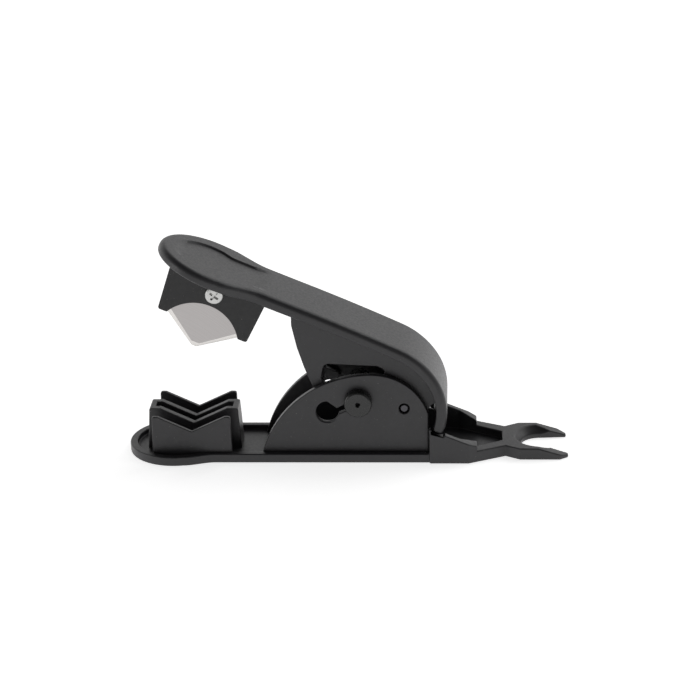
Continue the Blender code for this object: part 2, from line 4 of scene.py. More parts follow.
import bmesh
import bpy
from mathutils import Matrix, Vector, geometry


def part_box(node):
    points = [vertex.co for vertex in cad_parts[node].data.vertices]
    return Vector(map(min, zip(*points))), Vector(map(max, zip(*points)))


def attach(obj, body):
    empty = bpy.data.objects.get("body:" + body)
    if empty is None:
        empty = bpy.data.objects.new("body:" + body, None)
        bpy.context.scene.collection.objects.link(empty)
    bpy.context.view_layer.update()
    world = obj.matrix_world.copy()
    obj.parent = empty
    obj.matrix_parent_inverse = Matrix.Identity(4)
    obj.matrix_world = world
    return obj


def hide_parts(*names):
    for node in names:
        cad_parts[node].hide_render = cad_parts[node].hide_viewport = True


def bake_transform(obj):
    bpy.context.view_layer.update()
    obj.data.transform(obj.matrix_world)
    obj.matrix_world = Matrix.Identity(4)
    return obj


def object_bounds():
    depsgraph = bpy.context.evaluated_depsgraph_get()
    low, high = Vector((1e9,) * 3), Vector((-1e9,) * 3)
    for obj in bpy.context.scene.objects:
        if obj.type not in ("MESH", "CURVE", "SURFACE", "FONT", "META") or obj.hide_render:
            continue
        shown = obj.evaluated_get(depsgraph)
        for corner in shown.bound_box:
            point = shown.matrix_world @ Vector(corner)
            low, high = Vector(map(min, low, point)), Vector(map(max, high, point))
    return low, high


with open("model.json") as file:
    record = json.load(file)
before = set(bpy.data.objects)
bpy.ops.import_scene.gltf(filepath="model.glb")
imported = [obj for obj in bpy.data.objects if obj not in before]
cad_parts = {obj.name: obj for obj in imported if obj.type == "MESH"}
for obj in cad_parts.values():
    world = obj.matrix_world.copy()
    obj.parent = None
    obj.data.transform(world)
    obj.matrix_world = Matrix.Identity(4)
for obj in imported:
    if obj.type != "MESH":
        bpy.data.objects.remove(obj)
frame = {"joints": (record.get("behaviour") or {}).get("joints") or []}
CAD_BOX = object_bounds()
MM = 0.001

# ---------------------------------------------------------------- driving dimensions
JOINTS = {joint["name"]: joint for joint in frame["joints"]}
PIVOT = Vector(JOINTS["lever_hinge"]["pos_m"])
OPEN_ANGLE = math.radians(JOINTS["lever_hinge"]["range_deg"][1])
LOCK_AXIS = Vector(JOINTS["lock_slide"]["axis"])
LOCK_TRAVEL = JOINTS["lock_slide"]["range_m"][1]

HALF_LENGTH = CAD_BOX[1].x
BASE_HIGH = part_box("base_handle")[1]
BODY_HALF = 11.2 * MM                # half width of the base between nose and tail
NOSE_R = 13.6 * MM                   # round nose of the base
NOSE_X = NOSE_R - HALF_LENGTH
RIM_TOP = 2.65 * MM
RIM_WIDTH = 2.1 * MM
PAN_FLOOR = 1.25 * MM
BASE_WAIST_X = -36.5 * MM            # the nose has eased into the sides here
BASE_BEVEL = 0.35 * MM
CUT_REACH = 16 * MM                  # cutters run past the sides by this half width

CHEEK_OUT = 9.0 * MM
CHEEK_T = 2.0 * MM
CHEEK_TOP = BASE_HIGH.z
CHEEK_CROWN_X = 7.2 * MM
CHEEK_FRONT_R = 31.7 * MM
CHEEK_REAR_R = 16.4 * MM
CHEEK_REAR_X = 22.9 * MM
CHEEK_BEVEL = 0.28 * MM
LINK_REACH = 1.6 * MM                # small link from each cheek's rear edge to the tail wall
LINK_ROOT = 1.0 * MM
LINK_TOP_FRONT = 8.8 * MM
LINK_TOP_REAR = 8.2 * MM
LINK_OUTER_INSET = 1.1 * MM
LINK_INNER_INSET = 0.1 * MM
BURIED_Z = 0.6 * MM                  # feet of the upright walls, inside the pan floor

TAIL_HALF = 11.84 * MM
TAIL_FRONT_X = 23.2 * MM
TAIL_CORNER_X = 34.1 * MM
TAIL_END_X = 36.4 * MM
TAIL_WALL_T = 2.0 * MM
TAIL_TOP_FRONT = 10.3 * MM
TAIL_SLOPE = -0.41                   # rise over run of the tail walls' top
PAN_CORNER_X = 31.5 * MM             # the pocket in the tail narrows from here
PAN_END_X = 43.5 * MM
PAN_END_HALF = 2.9 * MM
LEVER_SEAT = [(23.77 * MM, 14.0 * MM), (23.77 * MM, 9.05 * MM), (27.2 * MM, 8.1 * MM), (27.9 * MM, 9.4 * MM),
              (27.9 * MM, 14.0 * MM)]    # notch in the tail walls that stops the open lever
SEAT_REACH = 13 * MM

NECK_X = 44.3 * MM
NECK_HALF = 6.85 * MM
FORK_T = 3.4 * MM
FORK_ROOT_X = 48.2 * MM
FORK_HALF = 9.2 * MM
FORK_WEDGE_X = 53.3 * MM             # the prongs thin down from here to the tip
FORK_TIP_T = 0.9 * MM
FORK_SLOT_R = 5.6 * MM
FORK_SLOT_X = 54.4 * MM
FORK_MOUTH_HALF = 6.3 * MM
FORK_TIP_X = 59.4 * MM
FORK_TIP_HALF = 7.5 * MM
FORK_BEVEL = 1.9 * MM
CONE_OVER = 0.1 * MM                 # the bevel cutter runs past the slot by this much

VEE_X = -42.95 * MM                  # middle of the four notched plates
VEE_VERTEX_Z = 8.8 * MM
VEE_TOP_Z = 13.2 * MM
VEE_HALF_MOUTH = 9.3 * MM
PLATE_HALF_TOP = 10.95 * MM
PLATE_HALF_FOOT = 11.2 * MM
PLATE_T = 1.25 * MM
PLATE_OUT = 9.76 * MM
BOX_HALF_TOP = 12.5 * MM
BOX_HALF_FOOT = 13.3 * MM
BOX_OUT = 3.47 * MM
BLADE_SLOT = 3.0 * MM
BLADE_SLOT_HALF = 10.9 * MM
BLADE_SLOT_FLOOR = 4.0 * MM
VEE_ROOT_R = 0.3 * MM
BOX_CORNER_R = 0.5 * MM
PLATE_CORNER_R = 0.6 * MM
BOX_BEVEL = 0.22 * MM
PLATE_BEVEL = 0.25 * MM

PIVOT_PIN_R = 1.1 * MM
PIVOT_SETBACK = 0.25 * MM            # the pivot pin ends this far inside the cheeks' faces
PIVOT_CHAMFER = 0.2 * MM             # of the pivot pin and of the bush round it
LOCK_CHAMFER = 0.15 * MM
PIVOT_HOLE_R = 1.5 * MM
LOCK_OPEN = Vector((3.6 * MM, 0.0, 17.6 * MM))
LOBE_R = 3.15 * MM
LOCK_NECK = 2.3 * MM
SHUT_LOBE_SPAN = (90.0, 352.0)       # arc of the locked lobe, up to the teeth
LOWER_TEETH = [(-1.3 * MM, 14.1 * MM), (0.6 * MM, 14.9 * MM)]
UPPER_TEETH = [(-0.1 * MM, 16.7 * MM), (-2.3 * MM, 15.5 * MM)]
LOCK_PIN_R = 0.8 * MM
KNOB_R = 3.85 * MM
KNOB_T = 2.3 * MM
KNOB_BACK = CHEEK_OUT + 0.45 * MM
KNOB_HOLE_R = 0.65 * MM
KNOB_BORE_DEPTH = 1.8 * MM           # from the button's face down to the pin's wider bore
KNOB_RIM_R = 0.85 * MM
KNOB_FOOT_R = 0.25 * MM
# radius and depth under the face, from the hole outwards
KNOB_DIP = [(KNOB_HOLE_R, 0.2 * MM), (KNOB_HOLE_R + 0.12 * MM, 0.08 * MM), (1.2 * MM, 0.06 * MM)]
PIN_SETBACK = 2.0 * MM               # the lock pin ends this far under the button's face

LEVER_NOSE_R = 15.2 * MM
LEVER_NOSE_X = -47.5 * MM
LEVER_WAIST_X = -32.0 * MM
LEVER_HALF = 11.2 * MM
LEVER_TOP_NOSE = 32.75 * MM
LEVER_THICKNESS = [(-63.5 * MM, 2.65 * MM), (-30.0 * MM, 3.25 * MM), (8.8 * MM, 3.0 * MM),
                   (40 * MM, 3.0 * MM)]
LEVER_CORNER_R = 0.5 * MM
LEVER_EDGE_R = 1.5 * MM
LEVER_LIP_R = 0.45 * MM
SPINE_START = (-63.5 * MM, LEVER_TOP_NOSE)
# distance along the top line and slope there in degrees: nearly straight, then rolling down
SPINE_HEADINGS = [(-63.5 * MM, -1.2), (-20.0 * MM, 0.0), (8.8 * MM, -2.6), (9.6 * MM, -5.0),
                  (22.21 * MM, -36.0), (38.75 * MM, -87.0)]
SPINE_STEP = 0.05 * MM
LEVER_END_S = SPINE_HEADINGS[-1][0]
OUTLINE_STEP = 0.8 * MM              # longest side of the lever's outline
GRID_PITCH = 0.7 * MM                # spacing of the mesh points on the lever's top
GRID_START = -61.5 * MM              # the first column of those points
GRID_LEAD = 62 * MM                  # length that the columns cover in front of the frame's origin
GRID_HALF_ROWS = 20
UNDER_START = 4 * MM                 # the underside gets inner points only behind here
EDGE_AIR = 0.4 * MM                  # inner points keep this far from the edge
WALL_AIR = 0.3 * MM                  # and this far from the dish's wall
WAIST_TAPER_X = -38 * MM
DISH_R = 9.6 * MM
DISH_X = -48.9 * MM
DISH_HALF = 7.2 * MM
DISH_WAIST_X = -41.5 * MM
DISH_END_X = -30.0 * MM
DISH_DEPTH = 0.5 * MM
DISH_WALL = 0.55 * MM                # width of the dish's sloping wall
DISH_FADE_IN = 3 * MM
DISH_RIM_LEAD = 3 * MM
DISH_FADE_OUT = 6 * MM
SKIRT_OUT = 6.6 * MM
SKIRT_T = 1.8 * MM
HUB_R = 6.6 * MM
HUB_REACH = 8 * MM
HUB_SPAN = (170.0, 370.0)            # the part of the hub's circle that is its own edge
SKIRT_BEVEL = 0.25 * MM
SKIRT_LEG = [(-23.3 * MM, 30.0 * MM), (-21.2 * MM, 25.1 * MM), (-17.4 * MM, 19.7 * MM),
             (-13.4 * MM, 15.0 * MM), (-9.8 * MM, 11.3 * MM)]
SKIRT_HOOK = [(-8.3 * MM, 10.2 * MM), (-3.2 * MM, 10.2 * MM), (-2.2 * MM, 11.2 * MM), (-2.2 * MM, 12.3 * MM),
              (-3.2 * MM, 13.0 * MM), (-6.6 * MM, 13.0 * MM), (-8.0 * MM, 14.0 * MM)]
SKIRT_WINDOW = [(-8.9 * MM, 18.2 * MM), (5.0 * MM, 23.2 * MM), (7.4 * MM, 23.0 * MM), (8.0 * MM, 20.0 * MM)]
SKIRT_REAR = [(23.3 * MM, 18.4 * MM), (24.6 * MM, 20.2 * MM), (22.0 * MM, 24.5 * MM), (15.0 * MM, 28.5 * MM),
              (4.0 * MM, 30.0 * MM)]
SKIRT_LEG_RADII = {1: 4 * MM, 2: 8 * MM, 3: 8 * MM, 5: 0.8 * MM}    # corner index to rounding
WINDOW_FRONT_R = 1.5 * MM
WINDOW_REAR_R = 1.2 * MM
WEB = [(-21.0 * MM, 29.6 * MM), (-19.9 * MM, 25.4 * MM), (-16.3 * MM, 20.2 * MM), (-12.4 * MM, 15.7 * MM),
       (-9.8 * MM, 11.8 * MM), (-8.2 * MM, 10.7 * MM), (-6.9 * MM, 11.0 * MM), (-6.9 * MM, 12.7 * MM),
       (-8.3 * MM, 14.6 * MM), (-10.9 * MM, 16.4 * MM), (-14.9 * MM, 21.0 * MM),
       (-18.4 * MM, 26.0 * MM), (-19.2 * MM, 29.6 * MM)]
WEB_INSET = 1.0 * MM

HOLDER_X = -43.72 * MM
HOLDER_FOOT_Z = 14.3 * MM
HOLDER_TOP_Z = 28.6 * MM
HOLDER_HALF_FOOT = 13.1 * MM
HOLDER_HALF_TOP = 14.2 * MM
HOLDER_OUT = 3.0 * MM
HOLDER_ARC_R = 11.9 * MM
HOLDER_ARC_Z = 8.6 * MM
HOLDER_TOE_R = 0.7 * MM
BRIDGE_FOOT_Z = 26.8 * MM
BRIDGE_INSET = 0.3 * MM
BRIDGE_OVERLAP = 0.2 * MM
CARRIER_BEVEL = 0.15 * MM
CLAMP_BEVEL = 0.2 * MM
BLADE_T = 0.9 * MM
BLADE_TIP_Z = 6.7 * MM
BLADE_SHOULDER_Z = 13.6 * MM
BLADE_HALF = 10.35 * MM
BLADE_TIP_HALF = 0.75 * MM
BLADE_BACK_Z = 26.4 * MM
BLADE_EDGE = 1.3 * MM                # width of the ground strips
EDGE_FLAT = BLADE_T / 5.0            # thickness left at the cutting edge
SCREW_Z = 24.2 * MM
SCREW_HEAD_R = 2.5 * MM
SCREW_R = 1.25 * MM
NUT_R = 2.75 * MM
NUT_SPAN = (1.9 * MM, 3.7 * MM)
NUT_BEVEL = 0.18 * MM
NUT_POCKET_FLOOR = 1.5 * MM
HEAD_RISE = 0.95 * MM                # the pan head's shoulder stands this high, its crown a little higher
HEAD_FILLET = 0.45 * MM
HEAD_CROWN = [(0.0, 1.1 * MM), (1.6 * MM, 1.05 * MM)]
SHANK_END = -3.0 * MM
SHANK_CHAMFER = 0.3 * MM
CROSS_ARM = 1.4 * MM
CROSS_HALF_WIDTH = 0.3 * MM
CROSS_INNER_R = 0.22 * MM
CROSS_OUTER_R = 0.12 * MM
CROSS_TURN = math.radians(-17.0)
CROSS_FLOOR = 0.25 * MM
SCREW_BEVEL = 0.05 * MM
SCREW_BEVEL_ANGLE = 50.0

SPRING_R = 3.3 * MM
SPRING_WIRE = 0.8 * MM
SPRING_TURNS = 4
SPRING_LEG = 11.0 * MM
TURN_STEPS = 40
SPRING_START = math.radians(315.0)
SPRING_EXTRA = math.radians(105.0)
SPRING_AIR = 0.25 * MM               # between one turn and the next
BUSH_R = 2.4 * MM
GAP = 0.3 * MM                       # play between pieces that touch
WELD_DISTANCE = 0.002 * MM
SAME_POINT = 0.001 * MM
NOSE_LEAVE = 78.0                    # the round noses run to this angle, then ease into the sides


# ---------------------------------------------------------------- outlines
def arc(centre, radius, start, end, count):
    """Points on a circle from one angle to another, in degrees."""
    points = []
    for step in range(count + 1):
        angle = math.radians(start + (end - start) * step / count)
        points.append((centre[0] + radius * math.cos(angle), centre[1] + radius * math.sin(angle)))
    return points


def disc(centre, radius, count=48):
    return arc(centre, radius, 0.0, 360.0 - 360.0 / count, count - 1)


def mirrored(points):
    """A closed plan outline from its upper half."""
    return points + [(x, -y) for x, y in reversed(points) if abs(y) > 0.01 * MM]


def smooth_step(t):
    t = min(max(t, 0.0), 1.0)
    return t * t * (3.0 - 2.0 * t)


def paddle(radius, nose_x, half, waist_x):
    """Upper half of a paddle: a round nose that eases into straight sides at waist_x."""
    points = arc((nose_x, 0.0), radius, 180.0, NOSE_LEAVE, 40)
    start = points[-1]
    steps = 20
    for step in range(1, steps + 1):
        t = step / steps
        points.append((start[0] + (waist_x - start[0]) * t, start[1] + (half - start[1]) * smooth_step(t)))
    return points


def rounded(points, radii, count=5):
    """A closed outline with its corners rounded; radii maps a corner's index to its radius."""
    result = []
    for index, corner in enumerate(points):
        radius = radii.get(index, 0.0)
        if radius == 0.0:
            result.append(corner)
            continue
        here = Vector(corner)
        before = (Vector(points[index - 1]) - here).normalized()
        after = (Vector(points[(index + 1) % len(points)]) - here).normalized()
        half_angle = before.angle(after) / 2.0
        reach = radius / math.tan(half_angle)
        centre = here + (before + after).normalized() * radius / math.sin(half_angle)
        start = here + before * reach - centre
        sweep = start.angle_signed(here + after * reach - centre)
        for step in range(count + 1):
            turn = -sweep * step / count
            point = centre + Matrix.Rotation(turn, 2) @ start
            result.append((point.x, point.y))
    return result


# ---------------------------------------------------------------- solids
def new_object(name, bm):
    mesh = bpy.data.meshes.new(name)
    bm.to_mesh(mesh)
    bm.free()
    obj = bpy.data.objects.new(name, mesh)
    bpy.context.scene.collection.objects.link(obj)
    return obj


def applied(obj):
    """Bake an object's modifiers into its mesh."""
    bpy.context.view_layer.update()
    depsgraph = bpy.context.evaluated_depsgraph_get()
    mesh = bpy.data.meshes.new_from_object(obj.evaluated_get(depsgraph))
    obj.modifiers.clear()
    obj.data = mesh
    return obj


def weld(obj, flat=0.4):
    """Merge doubled corners and join the coplanar faces into larger ones."""
    bm = bmesh.new()
    bm.from_mesh(obj.data)
    bmesh.ops.remove_doubles(bm, verts=bm.verts, dist=WELD_DISTANCE)
    bmesh.ops.dissolve_limit(bm, angle_limit=math.radians(flat), verts=bm.verts, edges=bm.edges,
                             use_dissolve_boundaries=False)
    face_outwards(bm)
    bm.to_mesh(obj.data)
    bm.free()
    return obj


def face_outwards(bm):
    """Point all normals out of the solid, so that its volume counts as positive."""
    bmesh.ops.recalc_face_normals(bm, faces=bm.faces)
    if bm.calc_volume(signed=True) < 0.0:
        bmesh.ops.reverse_faces(bm, faces=bm.faces)


def prism(name, loops, low, high, plane):
    """Extrude flat outlines between two heights: plane XY along Z, or XZ along Y."""
    curve = bpy.data.curves.new(name, "CURVE")
    curve.dimensions = "2D"
    curve.fill_mode = "BOTH"
    curve.extrude = (high - low) / 2.0
    for loop in loops:
        spline = curve.splines.new("POLY")
        spline.points.add(len(loop) - 1)
        for point, (u, v) in zip(spline.points, loop):
            point.co = (u, v, 0.0, 1.0)
        spline.use_cyclic_u = True
    guide = bpy.data.objects.new(name, curve)
    bpy.context.scene.collection.objects.link(guide)
    bpy.context.view_layer.update()
    mesh = bpy.data.meshes.new_from_object(guide.evaluated_get(bpy.context.evaluated_depsgraph_get()))
    bpy.data.objects.remove(guide)
    middle = (low + high) / 2.0
    stand = Matrix.Rotation(math.pi / 2, 4, "X")
    if plane == "XZ":
        mesh.transform(Matrix.Translation((0, middle, 0)) @ stand)
    else:
        mesh.transform(Matrix.Translation((0, 0, middle)))
    obj = bpy.data.objects.new(name, mesh)
    bpy.context.scene.collection.objects.link(obj)
    return weld(obj)


def soften(obj, width, segments=3, angle=25.0):
    """Round every edge that turns by more than an angle."""
    bevel = obj.modifiers.new("edges", "BEVEL")
    bevel.width = width
    bevel.segments = segments
    bevel.limit_method = "ANGLE"
    bevel.angle_limit = math.radians(angle)
    bevel.use_clamp_overlap = False
    bevel.loop_slide = False
    # the rounded faces take the piece's second material; on the nylon pieces that is a paler copy of the
    # nylon, a painted highlight along every edge
    bevel.material = 1
    obj.data.materials.clear()
    return applied(obj)


def combine(target, other, operation):
    """Join or cut one solid with another, which is used up."""
    step = target.modifiers.new(operation.lower(), "BOOLEAN")
    step.operation = operation
    step.solver = "EXACT"
    step.object = other
    applied(target)
    bpy.data.objects.remove(other)
    return target


def add(target, *others):
    for other in others:
        combine(target, other, "UNION")
    return target


def cut(target, *others):
    for other in others:
        combine(target, other, "DIFFERENCE")
    return target


def shade(obj, *looks):
    """Smooth shading that keeps flat faces flat, with the piece's materials."""
    obj.data.materials.clear()
    for look in looks:
        obj.data.materials.append(look)
    obj.data.shade_smooth()
    obj.data.set_sharp_from_angle(angle=math.radians(40))
    even = obj.modifiers.new("even", "WEIGHTED_NORMAL")
    even.keep_sharp = True
    even.weight = 100
    return applied(obj)


def ride_as(obj, body, node):
    """Say which body a finished piece moves with, and which node it stands for."""
    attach(obj, body)
    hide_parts(node)
    return obj


# ---------------------------------------------------------------- base moulding
def base_plate():
    """The base's slab, with its steps, the pan, the fork's slot and the lever's seat."""
    sides = [(TAIL_FRONT_X, BODY_HALF), (TAIL_FRONT_X, TAIL_HALF), (TAIL_CORNER_X, TAIL_HALF)]
    fork = [(NECK_X, NECK_HALF), (FORK_ROOT_X, FORK_HALF), (FORK_TIP_X, FORK_HALF),
            (HALF_LENGTH, FORK_TIP_HALF)]
    outline = paddle(NOSE_R, NOSE_X, BODY_HALF, BASE_WAIST_X) + sides + fork
    ceiling = TAIL_TOP_FRONT + 2 * MM
    beyond = HALF_LENGTH + 2 * MM
    plate = prism("base_moulding", [mirrored(outline)], 0.0, TAIL_TOP_FRONT + 0.5 * MM, "XY")
    wall_end_z = TAIL_TOP_FRONT + TAIL_SLOPE * (TAIL_END_X - TAIL_FRONT_X)
    steps = [(-beyond, RIM_TOP), (TAIL_FRONT_X, RIM_TOP), (TAIL_FRONT_X, TAIL_TOP_FRONT),
             (TAIL_END_X, wall_end_z), (TAIL_END_X, FORK_T), (FORK_WEDGE_X, FORK_T),
             (HALF_LENGTH, FORK_TIP_T), (beyond, FORK_TIP_T), (beyond, ceiling), (-beyond, ceiling)]
    cut(plate, prism("step_cut", [steps], -CUT_REACH, CUT_REACH, "XZ"))
    inner = BODY_HALF - RIM_WIDTH
    tail_inner = TAIL_HALF - TAIL_WALL_T
    tail = [(TAIL_FRONT_X - 1 * MM, inner), (TAIL_FRONT_X - 1 * MM, tail_inner), (PAN_CORNER_X, tail_inner),
            (PAN_END_X, PAN_END_HALF)]
    pan = paddle(NOSE_R - RIM_WIDTH, NOSE_X, inner, BASE_WAIST_X) + tail
    cut(plate, prism("pan_cut", [mirrored(pan)], PAN_FLOOR, ceiling, "XY"))
    slot = arc((FORK_SLOT_X, 0.0), FORK_SLOT_R, 90.0, 270.0, 40)
    slot = [(beyond, FORK_MOUTH_HALF)] + slot + [(beyond, -FORK_MOUTH_HALF)]
    cut(plate, prism("fork_slot_cut", [slot], -1 * MM, FORK_T + 1 * MM, "XY"))
    cone = bmesh.new()
    bmesh.ops.create_cone(cone, cap_ends=True, segments=80, radius1=FORK_SLOT_R - CONE_OVER,
                          radius2=FORK_SLOT_R + FORK_BEVEL + CONE_OVER, depth=FORK_BEVEL + 2 * CONE_OVER)
    bmesh.ops.translate(cone, verts=cone.verts, vec=(FORK_SLOT_X, 0.0, FORK_T - FORK_BEVEL / 2.0))
    cut(plate, new_object("fork_bevel_cut", cone))
    cut(plate, prism("lever_seat_cut", [LEVER_SEAT], -SEAT_REACH, SEAT_REACH, "XZ"))
    return soften(weld(plate), BASE_BEVEL)


def cheek(low):
    """An arched side wall with the lock's two-lobed slot, the pivot's hole and a link at its rear."""
    front_centre = (CHEEK_CROWN_X, CHEEK_TOP - CHEEK_FRONT_R)
    rear_centre = (CHEEK_CROWN_X, CHEEK_TOP - CHEEK_REAR_R)
    toe_angle = 180.0 - math.degrees(math.asin((BURIED_Z - front_centre[1]) / CHEEK_FRONT_R))
    heel_angle = math.degrees(math.acos((CHEEK_REAR_X - CHEEK_CROWN_X) / CHEEK_REAR_R))
    outline = arc(front_centre, CHEEK_FRONT_R, toe_angle, 90.0, 60)
    outline += arc(rear_centre, CHEEK_REAR_R, 90.0, heel_angle, 40)[1:]
    outline.append((CHEEK_REAR_X, BURIED_Z))
    shut = LOCK_OPEN + LOCK_AXIS * LOCK_TRAVEL
    tilt = math.degrees(math.atan2(-LOCK_AXIS.z, -LOCK_AXIS.x))
    mouth = math.degrees(math.asin(LOCK_NECK / 2.0 / LOBE_R))
    slot = arc((shut.x, shut.z), LOBE_R, *SHUT_LOBE_SPAN, 48) + LOWER_TEETH
    slot += arc((LOCK_OPEN.x, LOCK_OPEN.z), LOBE_R, tilt - 180.0 + mouth, tilt + 180.0 - mouth, 48)
    slot += UPPER_TEETH
    hole = disc((PIVOT.x, PIVOT.z), PIVOT_HOLE_R)
    made = soften(prism("cheek", [outline, slot, hole], low, low + CHEEK_T, "XZ"), CHEEK_BEVEL)
    root, tip = CHEEK_REAR_X - LINK_ROOT, CHEEK_REAR_X + LINK_REACH
    link = [(root, BURIED_Z), (tip, BURIED_Z), (tip, LINK_TOP_REAR), (root, LINK_TOP_FRONT)]
    side = -1.0 if low < 0.0 else 1.0
    outer = side * (CHEEK_OUT - LINK_OUTER_INSET)
    inner = side * (CHEEK_OUT - CHEEK_T + LINK_INNER_INSET)
    return add(made, prism("cheek_link", [link], min(outer, inner), max(outer, inner), "XZ"))


def vee_outline(half_top, half_foot, corner):
    """Side outline of a notched plate, its top corners rounded."""
    points = [(VEE_X - half_foot, BURIED_Z), (VEE_X + half_foot, BURIED_Z), (VEE_X + half_top, VEE_TOP_Z),
              (VEE_X + VEE_HALF_MOUTH, VEE_TOP_Z), (VEE_X, VEE_VERTEX_Z),
              (VEE_X - VEE_HALF_MOUTH, VEE_TOP_Z), (VEE_X - half_top, VEE_TOP_Z)]
    return rounded(points, {2: corner, 3: corner, 5: corner, 6: corner, 4: VEE_ROOT_R})


def vee_block():
    """The middle notched block, with the slot that the blade goes into."""
    outline = vee_outline(BOX_HALF_TOP, BOX_HALF_FOOT, BOX_CORNER_R)
    block = prism("vee_block", [outline], -BOX_OUT, BOX_OUT, "XZ")
    x0, x1 = VEE_X - BLADE_SLOT_HALF, VEE_X + BLADE_SLOT_HALF
    half = BLADE_SLOT / 2.0
    slot = [(x0, -half), (x1, -half), (x1, half), (x0, half)]
    cut(block, prism("blade_slot_cut", [slot], BLADE_SLOT_FLOOR, VEE_TOP_Z + 1 * MM, "XY"))
    return soften(weld(block), BOX_BEVEL)


def vee_plate(low):
    outline = vee_outline(PLATE_HALF_TOP, PLATE_HALF_FOOT, PLATE_CORNER_R)
    return soften(prism("vee_plate", [outline], low, low + PLATE_T, "XZ"), PLATE_BEVEL)


def base_moulding(looks):
    base = base_plate()
    add(base, cheek(-CHEEK_OUT), cheek(CHEEK_OUT - CHEEK_T), vee_block(),
        vee_plate(-PLATE_OUT), vee_plate(PLATE_OUT - PLATE_T))
    shade(base, *looks)
    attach(base, "base")
    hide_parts("base_handle")
    return base


# ---------------------------------------------------------------- lever group
def between(table, at):
    """Straight-line value from a table of (place, value)."""
    for (a, low), (b, high) in zip(table, table[1:]):
        if at <= b:
            return low + (high - low) * max(at - a, 0.0) / (b - a)
    return table[-1][1]


def spine_points():
    """Places and headings along the lever's top line, walked in small steps from the nose."""
    x, z = SPINE_START
    s = x
    points = []
    while s <= LEVER_END_S + SPINE_STEP:
        heading = math.radians(between(SPINE_HEADINGS, s))
        points.append((x, z, heading))
        x += SPINE_STEP * math.cos(heading)
        z += SPINE_STEP * math.sin(heading)
        s += SPINE_STEP
    return points


SPINE = spine_points()


def on_lever(s, y, depth):
    """A point of the lever from its distance along the top line, side and depth below the top."""
    place = min(max((s - SPINE_START[0]) / SPINE_STEP, 0.0), len(SPINE) - 1.001)
    low = int(place)
    share = place - low
    x, z, heading = (a + (b - a) * share for a, b in zip(SPINE[low], SPINE[low + 1]))
    return Vector((x + math.sin(heading) * depth, y, z - math.cos(heading) * depth))


def lever_thickness(s):
    return between(LEVER_THICKNESS, s)


def dish_inside(s, y):
    """How far a point of the lever's top lies inside the thumb dish."""
    corner_x = DISH_X + DISH_R * math.cos(math.radians(NOSE_LEAVE))
    corner_y = DISH_R * math.sin(math.radians(NOSE_LEAVE))
    if s < corner_x:
        return DISH_R - math.hypot(s - DISH_X, y)
    half = corner_y + (DISH_HALF - corner_y) * smooth_step((s - corner_x) / (DISH_WAIST_X - corner_x))
    return half - abs(y)


def dish_depth(s, y):
    fade_in = smooth_step((s - DISH_X + DISH_R) / DISH_FADE_IN)
    fade_out = smooth_step((DISH_END_X - s) / DISH_FADE_OUT)
    return DISH_DEPTH * fade_in * fade_out * smooth_step(dish_inside(s, y) / DISH_WALL)


def inset(loop, distance):
    """A closed outline moved inwards, corner by corner; the outline runs anticlockwise."""
    result = []
    for index, here in enumerate(loop):
        here = Vector(here)
        before = (here - Vector(loop[index - 1])).normalized()
        after = (Vector(loop[(index + 1) % len(loop)]) - here).normalized()
        normal = Vector((-before.y - after.y, before.x + after.x)).normalized()
        spread = max(normal.dot(Vector((-before.y, before.x))), 0.4)
        moved = here + normal * distance / spread
        result.append((moved.x, moved.y))
    return result


def dense(loop, step):
    """A closed outline with extra points where its sides are longer than a step."""
    result = []
    for index, here in enumerate(loop):
        there = loop[(index + 1) % len(loop)]
        count = max(1, int(math.dist(here, there) / step))
        for part in range(count):
            t = part / count
            result.append((here[0] + (there[0] - here[0]) * t, here[1] + (there[1] - here[1]) * t))
    return result


def sheet_over(bm, ring, points, lines, place):
    """Fill a ring of vertices with triangles through inner points and lines, placed by a rule."""
    flat = [Vector(p) for p, _ in ring] + [Vector(p) for p in points]
    edges = [(i, (i + 1) % len(ring)) for i in range(len(ring))]
    for line in lines:
        start = len(flat)
        flat += [Vector(p) for p in line]
        edges += [(start + i, start + i + 1) for i in range(len(line) - 1)]
    made, _, faces, origins, _, _ = geometry.delaunay_2d_cdt(flat, edges, [], 1, 1e-9)
    verts = []
    for point, sources in zip(made, origins):
        known = [index for index in sources if index < len(ring)]
        verts.append(ring[known[0]][1] if known else bm.verts.new(place(point.x, point.y)))
    for face in faces:
        corners = [verts[index] for index in face]
        middle = sum((made[index] for index in face), Vector((0.0, 0.0))) / 3.0
        if len(set(corners)) == 3 and inside_ring(middle, [p for p, _ in ring]):
            bm.faces.new(corners)


def inside_ring(point, ring):
    crossings = 0
    for (ax, ay), (bx, by) in zip(ring, ring[1:] + ring[:1]):
        if (ay > point.y) != (by > point.y) and point.x < ax + (point.y - ay) * (bx - ax) / (by - ay):
            crossings += 1
    return crossings % 2 == 1


